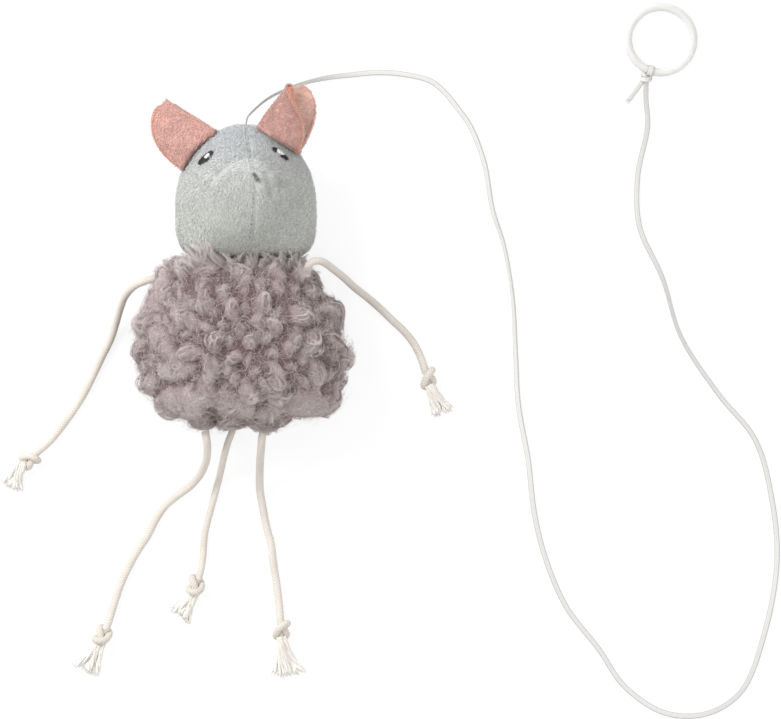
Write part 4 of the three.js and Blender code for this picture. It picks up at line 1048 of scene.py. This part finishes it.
def silhouette_reach(angle):
    """How far the fur reaches beyond the cover in plan, round the body."""
    places = np.array([photo_point(*p)[:2] for p in SILHOUETTE])
    turn = np.arctan2(places[:, 1], places[:, 0])
    way = np.column_stack([np.cos(turn), np.sin(turn), np.zeros(len(turn))])
    extra = np.linalg.norm(places, axis=1) - body_radius(way)
    order = np.argsort(turn)
    turn = np.concatenate([turn[order] + k * 2 * np.pi for k in (-1, 0, 1)])
    return np.interp(angle, turn, np.tile(extra[order], 3))


def body_normals(ways):
    """Outward normals of the body's form in given directions."""
    step = 1e-4
    spots = (ways * body_radius(ways)[:, None])[:, None] + np.eye(3) * step
    return unit(np.linalg.norm(spots, axis=-1) / body_radius(unit(spots)) - 1)


def even_ways(count):
    """Random directions, evenly spread over the body's surface by area."""
    pick = unit(rng.normal(size=(count * 3, 3)))
    size = body_radius(pick) ** 2 / np.maximum(np.sum(body_normals(pick) * pick, axis=1), 0.2)
    return pick[rng.random(len(pick)) < size / size.max()][:count]


def lie_of(ways, places):
    """The normals, and two unit directions in the surface: along the lie of the fur and across it."""
    normals = body_normals(ways)
    angle = np.arctan2(places[:, 1] + 1e-6, places[:, 0] + 1e-6) + 2.6 * layered_noise(places / (15 * MM), 2, 52)
    lie = np.stack([np.cos(angle), np.sin(angle), np.zeros(len(angle))], axis=-1)
    lie = unit(lie - normals * np.sum(lie * normals, axis=1, keepdims=True))
    return normals, lie, np.cross(normals, lie)


def make_locks():
    """Lobes of fur over the whole body, listed ones and then more by chance: places, half sizes, directions and curls.
    """
    ways, sizes, headings = [], [], []
    for spot, heading, *half_sizes in KEY_LOCKS:
        x, y, _ = photo_point(*spot) / MM
        height = BODY_HALF_DEPTH * math.sqrt(max(1 - min(plan_reach(x, y, *BODY_PLAN), 0.985) ** 2, 0))
        ways.append(unit(vec(x, y, height)))
        sizes.append(half_sizes)
        headings.append(math.radians(heading))
    pick = even_ways(5200)
    places = pick * body_radius(pick)[:, None]
    kept = [way * body_radius(way) for way in ways]
    for gap, tries, half, high in LOCK_SIZES:
        for way, place in zip(pick[:tries], places[:tries]):
            if np.min(np.linalg.norm(np.array(kept) - place, axis=1)) > gap * MM:
                kept.append(place)
                ways.append(way)
                long = rng.uniform(*half)
                sizes.append((long, long * rng.uniform(0.58, 0.85), rng.uniform(*high)))
    ways, kept, sizes = np.array(ways), np.array(kept), np.array(sizes)
    normals, lie, across = lie_of(ways, kept)
    for k, heading in enumerate(headings):
        flat = vec(math.cos(heading), math.sin(heading), 0)
        # The same amount comes off all three parts, so a listed lock tips a little out of the surface.
        lie[k] = unit(flat - normals[k] ** 2 @ flat)
        across[k] = np.cross(normals[k], lie[k])
    curls = rng.uniform(0.15, 0.6, len(ways)) * rng.choice([-1, 1], len(ways))
    return kept, sizes, lie, across, curls


def lobe(u, v, curl):
    """The height of one lock, from 0 to 1, where u runs along it and v across, each from -1 to 1."""
    side = (v - curl * u * u) / (0.82 + 0.22 * u)
    return np.sqrt(np.clip(1 - u * u - side * side, 0, 1)) * (0.8 + 0.2 * u)


def fur_height(places, locks):
    """How high the fur stands over places on the body's form, in millimetres, and how full it is."""
    total, share = np.zeros((2, len(places)))
    warp = [layered_noise(places / (2.6 * MM) + 9.1 * k, 2, 60 + k) for k in range(3)]
    rough = places + 0.9 * MM * np.stack(warp, -1)
    for centre, (long, wide, high), lie, across, curl in zip(*locks):
        away = rough - centre
        near = np.nonzero(np.einsum("ij,ij->i", away, away) < (1.6 * long * MM) ** 2)[0]
        value = lobe(away[near] @ lie / (long * MM), away[near] @ across / (wide * MM), curl)
        total[near] += (high * value) ** 5
        share[near] = np.maximum(share[near], value)
    return total ** 0.2, share


def fur_points(ways, height, lift=0.0):
    """Places in the fur in given directions, with the photographed outline."""
    places = ways * body_radius(ways)[:, None]
    angle = np.arctan2(places[:, 1], places[:, 0])
    level = np.clip(1 - np.abs(ways[:, 2]) * 1.35, 0, 1)
    extra = np.clip(silhouette_reach(angle) / MM, -4, 6) * level
    low = smoothstep(places[:, 2] / MM, -24, -12)
    neck = 2.4 * smoothstep(ways[:, 1], 0.5, 0.8) * (1 - smoothstep(np.abs(places[:, 0]) / MM, 23, 30))
    fur = -FUR_SINK + height * (0.35 + 0.65 * low) + 0.75 * extra + neck + lift
    return BODY_CENTRE + ways * (np.linalg.norm(places, axis=1) + fur * MM)[:, None]


def frizz(count, steps, size):
    """Smooth random sideways offsets along fibres, in millimetres."""
    t = np.linspace(0, 1, steps)
    return size * sum(scattered(1, count) / wave * np.sin(2.2 * wave * t + column(0, 6.28, count))
                      for wave in range(1, 4))


def walk(turn, step):
    """Where a path gets to that heads by turn at each of its steps, along and across."""
    return [np.cumsum(way * step, axis=1) - way[:, :1] * step for way in (np.cos(turn), np.sin(turn))]


def lock_paths(locks, spacing, steps=9):
    """Fine fibres in small clumps that run over their lock and curl up at their ends."""
    centres, sizes, lies, acrosses, curls = locks
    clumps = np.maximum((sizes[:, 0] * sizes[:, 1] / spacing ** 2).astype(int), 2)
    lock = np.repeat(np.arange(len(centres)), clumps)
    count = len(lock)
    t = np.linspace(0, 1, steps)[None, :]
    long, wide, high = (sizes[lock, k][:, None] for k in range(3))
    way = np.sign(curls[lock])[:, None] * np.where(column(0, 1, count) < 0.72, 1, -1)
    length = long * column(0.9, 1.7, count)
    bend = column(0.2, 1.1, count) * way
    loose = column(0, 1, count) < 0.35
    hook = column(0.8, 4.2, count) * way * np.where(loose, 1.0, 0.45)
    turn = scattered(0.3, count) + bend * t + hook * smoothstep(t, 0.45, 1.15) ** 1.3
    ahead, aside = walk(turn, length / (steps - 1))
    u = column(-0.95, 0.25, count) * long + ahead
    v = column(-0.85, 0.85, count) * wide + aside
    dome = lobe(np.clip(u / long, -1, 1), np.clip(v / wide, -1, 1), curls[lock][:, None])
    shell = np.where(loose, column(0.7, 1.15, count), column(0.86, 1.02, count))
    tip = np.where(loose, column(-0.6, 1.8, count), column(-0.4, 0.5, count)) * smoothstep(t, 0.5, 1)
    rise = dome * high * shell + tip - 0.5 * (1 - t)

    which = np.repeat(np.arange(count), PER_CLUMP)
    total = len(which)
    angle = column(0, 2 * np.pi, total) + column(-1.2, 1.2, total) * t
    thick = table(t, ((0, 1.0), (0.35, 1.0), (0.75, 0.7), (1, 0.3))) * column(0.45, 0.95, count)[which]
    out = np.sqrt(column(0.02, 1, total)) * thick
    u = u[which] + out * np.cos(angle) * 0.8 + frizz(total, steps, 0.16)
    v = v[which] + out * np.cos(angle + 1.2) + frizz(total, steps, 0.2)
    rise = rise[which] + out * np.sin(angle) + frizz(total, steps, 0.16)
    lock = lock[which]
    flat = centres[lock][:, None] + (u[..., None] * lies[lock][:, None] + v[..., None] * acrosses[lock][:, None]) * MM
    paths = fur_points(unit(flat.reshape(-1, 3)), np.maximum(rise.ravel(), -0.4), 0.35).reshape(flat.shape)
    # Tones rise with a fibre's height over its lock and on the upper side of its clump: a painted highlight on the
    # crests and painted shade low in the crevices, with random tone.
    tones = 0.08 + 0.16 * np.maximum(rise, 0) + 0.06 * np.sin(angle) + scattered(0.05, count)[which] \
        + scattered(0.06, total)
    return paths, tones


def bridge_paths(clumps=11, steps=9):
    """Locks that start in the fur of the neck and lie over the head's chin, or over the arm's root."""
    count = clumps * PER_CLUMP
    t = np.linspace(0, 1, steps)[None, :]
    paths, tones = [], []

    def shared(values):
        return np.repeat(values, PER_CLUMP, axis=0)

    for first, last, bow, wide in BRIDGES:
        shift = shared(rng.uniform(-1, 1, (clumps, 2)))
        length = shared(column(0.75, 1.12, clumps))
        curl = shared(column(-1, 1, clumps))
        start, end = (np.array(photo_point(*spot))[:2] / MM for spot in (first, last))
        ahead = end - start
        side = vec(-ahead[1], ahead[0]) / np.hypot(*ahead)
        s = t * length
        offset = (shift[:, :1] * wide * (1 - 0.45 * t) + bow * np.sin(np.pi * s)
                  + curl * 3.4 * smoothstep(t, 0.45, 1.1) + scattered(0.5, count) * (1.1 - 0.5 * t)
                  + frizz(count, steps, 0.34))
        s = s - 0.16 * np.abs(curl) * smoothstep(t, 0.6, 1.0)
        plan = start + s[..., None] * ahead + offset[..., None] * side + shift[:, None, 1:] * 0.8
        over = plan - HEAD_CENTRE[:2] / MM
        body, chin = (np.sqrt(np.clip(1 - plan_reach(*np.moveaxis(place, -1, 0), *form) ** 2, 0, 1))
                      for place, form in ((plan, BODY_PLAN), (over, CHIN_PLAN)))
        head = np.where(over[..., 1] < 10, chin * HEAD_HALF_DEPTH + 26, 0)
        ground = np.maximum(np.maximum(body * BODY_HALF_DEPTH + 24.5, head), 33.0)
        smooth = ground[:, :1] * (1 - t) + np.maximum(ground[:, -1:], ground[:, :1]) * t
        high = np.maximum(ground, smooth) + 0.5 + 1.5 * np.sin(np.pi * np.clip(s, 0, 1)) ** 0.8
        high = high + scattered(0.35, count) + shared(column(-0.4, 0.9, clumps))
        high[:, 0] -= 2.2
        paths.append(np.dstack([plan, high + frizz(count, steps, 0.14)]) * MM)
        # Darker at the roots in the neck fur and lighter towards the tips: painted shade deep in the fur, with random
        # tone.
        tones.append(0.45 + 0.25 * t + shared(scattered(0.1, clumps)) + scattered(0.07, count))
    return np.vstack(paths), np.concatenate(tones)


def wisp_paths(ways, locks, length, radius, rise, pitch, steps):
    """Loose fibres that start on the fur's surface and wind over it in arcs."""
    count = len(ways)
    base = ways * body_radius(ways)[:, None]
    height, full = fur_height(base, locks)
    roots = fur_points(ways, 0.7 * height, -0.3)
    normals, lie, across = (part[:, None] for part in lie_of(ways, base))
    heading = scattered(1.1, count)
    bend = length / radius * np.where(column(0, 1, count) < 0.5, -1, 1)
    t = np.linspace(0, 1, steps)[None, :]
    turn = (heading + bend * t ** 1.1)[..., None]
    climb = (rise * np.cos(np.pi * t * 0.95) + pitch)[..., None]
    way = (np.cos(turn) * lie + np.sin(turn) * across) * np.cos(climb) + normals * np.sin(climb)
    step = (length / (steps - 1))[..., None] * MM
    return roots[:, None] + np.cumsum(way * step, axis=1) - way[:, :1] * step, full


def make_body():
    """The fur: a felted cover with lobes, clumped fibres over each lobe, and loose fibres over all."""
    rng.bit_generator.state = np.random.default_rng(FUR_SEED).bit_generator.state
    # The cover is dark brown where no lock covers it and light on the locks: painted shade in the crevices between
    # locks.
    felt = new_material("felted_fur", (
        ("height", ((0.0, srgb(136, 114, 111)), (0.3, srgb(164, 145, 142)), (0.7, srgb(198, 184, 182)),
                    (1.0, srgb(222, 212, 211)))),
        ((130, 5), ((0.3, (0.84, 0.8, 0.8)), (0.7, grey(1.04)))),
        ((1100, 6), ((0.3, (0.76, 0.74, 0.74)), (0.68, grey(1.05)))),
    ), (1500, 5, 1.0, 0.0012), roughness=0.95, specular=0.1, sheen=0.5, sheen_spread=0.4)
    # Fibres are darker towards their roots and at low tones, as painted shade deep in the fur and in its crevices.
    # Their tips and high tones are lighter, as painted light on the crests.
    strand = new_material("fur_strands", (
        ("along", ((0.0, srgb(196, 179, 176)), (0.5, srgb(228, 217, 216)), (1.0, srgb(243, 237, 237)))),
        ("tone", ((0.0, (0.49, 0.43, 0.415)), (0.42, (0.82, 0.79, 0.785)), (1.0, grey(1.12)))),
    ), specular=0.2, sheen=0.4)

    locks = make_locks()
    ways, faces = ball_grid(270, 350)
    base = ways * body_radius(ways)[:, None]
    height, full = fur_height(base, locks)
    height = 0.68 * height + 0.22 * layered_noise(base / (1.5 * MM), 2, 90)
    points = kept_clear(fur_points(ways, height), -0.2, 0.3)
    # Its height value is how far a lock covers each point, for the painted shade between locks.
    cover = mesh_piece("body_felted_fur", points, faces, "torso", "curly_fur", felt,
                       ["body_front_panel", "body_back_panel", "body_stuffing"], height=np.clip(full, 0, 1))

    def lay(name, paths, tones, width, pieces):
        paths, tones = kept_clear(paths, 0.6, 0.2), np.clip(tones, 0, 1)
        for number, part in enumerate(np.array_split(np.arange(len(paths)), pieces)):
            fibres(f"{name}_{number + 1}", paths[part], width, "torso", "curly_fur", strand, tones[part], 0.3)

    paths, tones = lock_paths(locks, 1.8)
    clear = out_of_head(paths[:, 0])[0] >= -1.5 * MM
    bridges, bridge_tones = bridge_paths()
    lay("body_fur_locks", np.concatenate([paths[clear], bridges]), np.concatenate([tones[clear], bridge_tones]),
        0.095, 9)

    # Each: name, tries, length, radius, rise, pitch, steps, tone and pieces. A tone is a base, a share added where the
    # fibre starts on a lock, so that fibres between locks stay darker as painted shade, and a random spread.
    for name, tries, length, radius, rise, pitch, steps, tone, pieces in (
        ("body_felt_fibres", 14000, (2.6, 5.6), (1.0, 2.8), (0.4, 1.1), 0.22, 7, (0.1, 0.6, 0.12), 3),
        ("body_long_wisps", 2600, (5.0, 11.0), (2.2, 5.5), (0.25, 0.75), 0.16, 11, (0.75, 0, 0.2), 1),
    ):
        ways = even_ways(tries)
        world = BODY_CENTRE + ways * body_radius(ways)[:, None]
        ways = ways[(out_of_head(world)[0] > -0.8 * MM) & (world[:, 2] > 1.0 * MM)]
        count = len(ways)
        paths, full = wisp_paths(ways, locks, *(column(*span, count) for span in (length, radius, rise)), pitch, steps)
        lay(name, paths, tone[0] + tone[1] * full + rng.normal(0, tone[2], count), 0.09, pieces)


# ---------- ring and its tie ----------

RING_CENTRE = vec(175.8, 128.2, 2.35) * MM
RING_RADIUS = 13.75 * MM  # to the middle of the bar
RING_BAR = 1.75 * MM  # half its thickness
RING_TILT = math.radians(2.5)
TIE_ANGLE = math.radians(-108)
TIE_WAY = vec(math.cos(TIE_ANGLE), math.sin(TIE_ANGLE), 0)
TIE_SIDE = vec(-TIE_WAY[1], TIE_WAY[0], 0)
TIE_MIDDLE = vec(171.56, 115.14, 2.95) * MM
KNOT_PLACE = vec(169.95, 112.3, 3.2) * MM


def plastic_material():
    clouds = ((0.3, srgb(221, 220, 218)), (0.7, srgb(229, 228, 226)))
    material = new_material("translucent_plastic", (((55, 3), clouds),), (420, 3, 0.08, 0.0004), specular=0.2)
    tree = material.node_tree
    shader = tree.nodes["Principled BSDF"]
    rough = add_node(tree, "ShaderNodeMapRange")
    rough.inputs["To Min"].default_value = 0.35
    rough.inputs["To Max"].default_value = 0.5
    tree.links.new(noise_of(tree, 240, 4), rough.inputs["Value"])
    tree.links.new(rough.outputs["Result"], shader.inputs["Roughness"])
    for key, value in (("Transmission Weight", 0.08), ("Subsurface Weight", 0.7), ("Subsurface Radius", (1, 1, 1)),
                       ("Subsurface Scale", 0.004), ("IOR", 1.49)):
        shader.inputs[key].default_value = value
    return material


def hoop(name, middle, outward, upward, size, *facts, **attributes):
    """A closed ring of sections, whose size is given at each of their angles."""
    turn = np.linspace(0, 2 * np.pi, len(size), endpoint=False)[:, None]
    points = middle[:, None] + (np.cos(turn) * outward[:, None] + np.sin(turn) * upward) * size[:, None]
    faces = ring_faces(len(middle), len(size), closed=True)
    return mesh_piece(name, points.reshape(-1, 3), faces, *facts, **attributes)


def make_ring(elastic):
    """The plastic ring and two turns of elastic round its bar."""
    angle = np.linspace(0, 2 * np.pi, 180, endpoint=False)
    outward = np.stack([np.cos(angle), np.sin(angle), np.zeros_like(angle)], axis=-1)
    middle = RING_CENTRE + outward * RING_RADIUS
    middle[:, 2] += (outward @ TIE_WAY) * RING_RADIUS * math.tan(RING_TILT)
    turn = np.linspace(0, 2 * np.pi, 32, endpoint=False)
    flash = 1 + 0.02 * bell(np.abs(turn - np.pi), 0.1) + 0.015 * bell(turn, 0.1)  # of the mould's halves
    hoop("plastic_finger_ring", middle, outward, vec(0, 0, 1), RING_BAR * flash, "ring", "clear_plastic",
         plastic_material(), ["finger_ring"])

    turn = np.linspace(0, 2 * np.pi, 20, endpoint=False)
    rib = 0.5 * np.cos(turn * 10)
    size = box_reach(turn, 0.3, 0.62) * (1 - 0.05 * (0.5 + rib)) * MM
    angle = np.linspace(0, 2 * np.pi, 90, endpoint=False)
    outward = np.cos(angle)[:, None] * TIE_WAY + np.sin(angle)[:, None] * vec(0, 0, 1)
    for number, shift in enumerate((-0.62, 0.62)):
        aside = shift + 0.25 * np.sin(angle + 2.6 * number)
        middle = TIE_MIDDLE + outward * 2.12 * MM + aside[:, None] * TIE_SIDE * MM
        hoop(f"elastic_turn_{number + 1}", middle, outward, TIE_SIDE, size, "loop", "elastic", elastic,
             [] if number else ["ring_loop"], height=np.tile(0.5 - rib, len(middle)))


def make_tie(elastic, fibre):
    """The knot at the ring, the cut end that sticks out of it and its fray."""
    knot = even_line(turned(knot_line(1.15, 260), TIE_ANGLE) * MM + KNOT_PLACE, 0.12 * MM)
    tube_piece("elastic_tie_knot", knot, 1.0, 24, "head", "elastic", elastic, ribbed_band(0.92 * MM, 0.62 * MM),
               ["string_knot"], turn=0.6)
    start = KNOT_PLACE + vec(-0.5, 0.3, 0.0) * MM
    end = smooth_line([start + vec(*off) * MM for off in (
        (0, 0, 0), (-1.7, -2.6, -0.4), (-4.3, -6.2, -1.6), (-7.0, -9.7, -2.4))], 0.2 * MM)
    end[:, 2] = np.maximum(end[:, 2], 0.6 * MM)
    tube_piece("elastic_cut_end", end, 1.0, 24, "head", "elastic", elastic, ribbed_band(1.08 * MM, 0.42 * MM),
               ["string_end"], turn=1.25)
    count = 26
    t = np.linspace(0, 1, 6)[None, :, None]
    ahead = unit(end[-1] - end[-6])
    side = unit(np.cross(ahead, vec(0, 0, 1)))
    share = rng.uniform(-1, 1, (count, 1, 1))
    length = rng.uniform(1.2, 3.4, (count, 1, 1)) * MM
    fan = end[-1] + (side * share - ahead) * 0.8 * MM + rng.normal(0, 0.15, (count, 1, 3)) * MM
    paths = fan + ahead * length * t + side * (share * 0.6 + rng.normal(0, 0.2, (count, 1, 1))) * length * t ** 2
    paths[..., 2] = np.clip(paths[..., 2], 0.15 * MM, 1.4 * MM)
    fibres("elastic_end_fray", paths, 0.16, "head", "elastic", fibre)


def main():
    make_camera()
    # The braid is darker where its yarns pass under, low in the braid: painted shade between the yarns.
    cotton = new_material("braided_cotton", (
        ("height", ((0.0, srgb(184, 172, 159)), (0.4, srgb(222, 214, 205)), (1.0, srgb(236, 231, 225)))),
        ((90, 3), ((0.3, (0.9, 0.88, 0.85)), (0.7, grey(1)))),
    ), (4200, 2, 0.35, 0.0002), roughness=0.9, specular=0.15, sheen=0.2)
    cotton_fibre = fibre_material("cotton_fibre", srgb(243, 237, 229), srgb(249, 245, 239), spread=0.05)
    # The elastic is darker in the grooves between its ribs: painted shade.
    elastic = new_material("woven_elastic", (
        ("height", ((0.0, srgb(186, 185, 182)), (0.5, srgb(223, 222, 220)), (1.0, srgb(236, 235, 233)))),
    ), (5200, 2, 0.3, 0.00015), roughness=0.75, specular=0.25)
    for name in LIMB_ROUTES:
        make_limb(name, cotton, cotton_fibre)
    make_string(elastic)
    make_tie(elastic, fibre_material("elastic_fibre", srgb(222, 221, 218), srgb(240, 240, 238)))
    make_ring(elastic)
    make_face(make_head())
    make_ears()
    make_body()
    make_stage()


main()
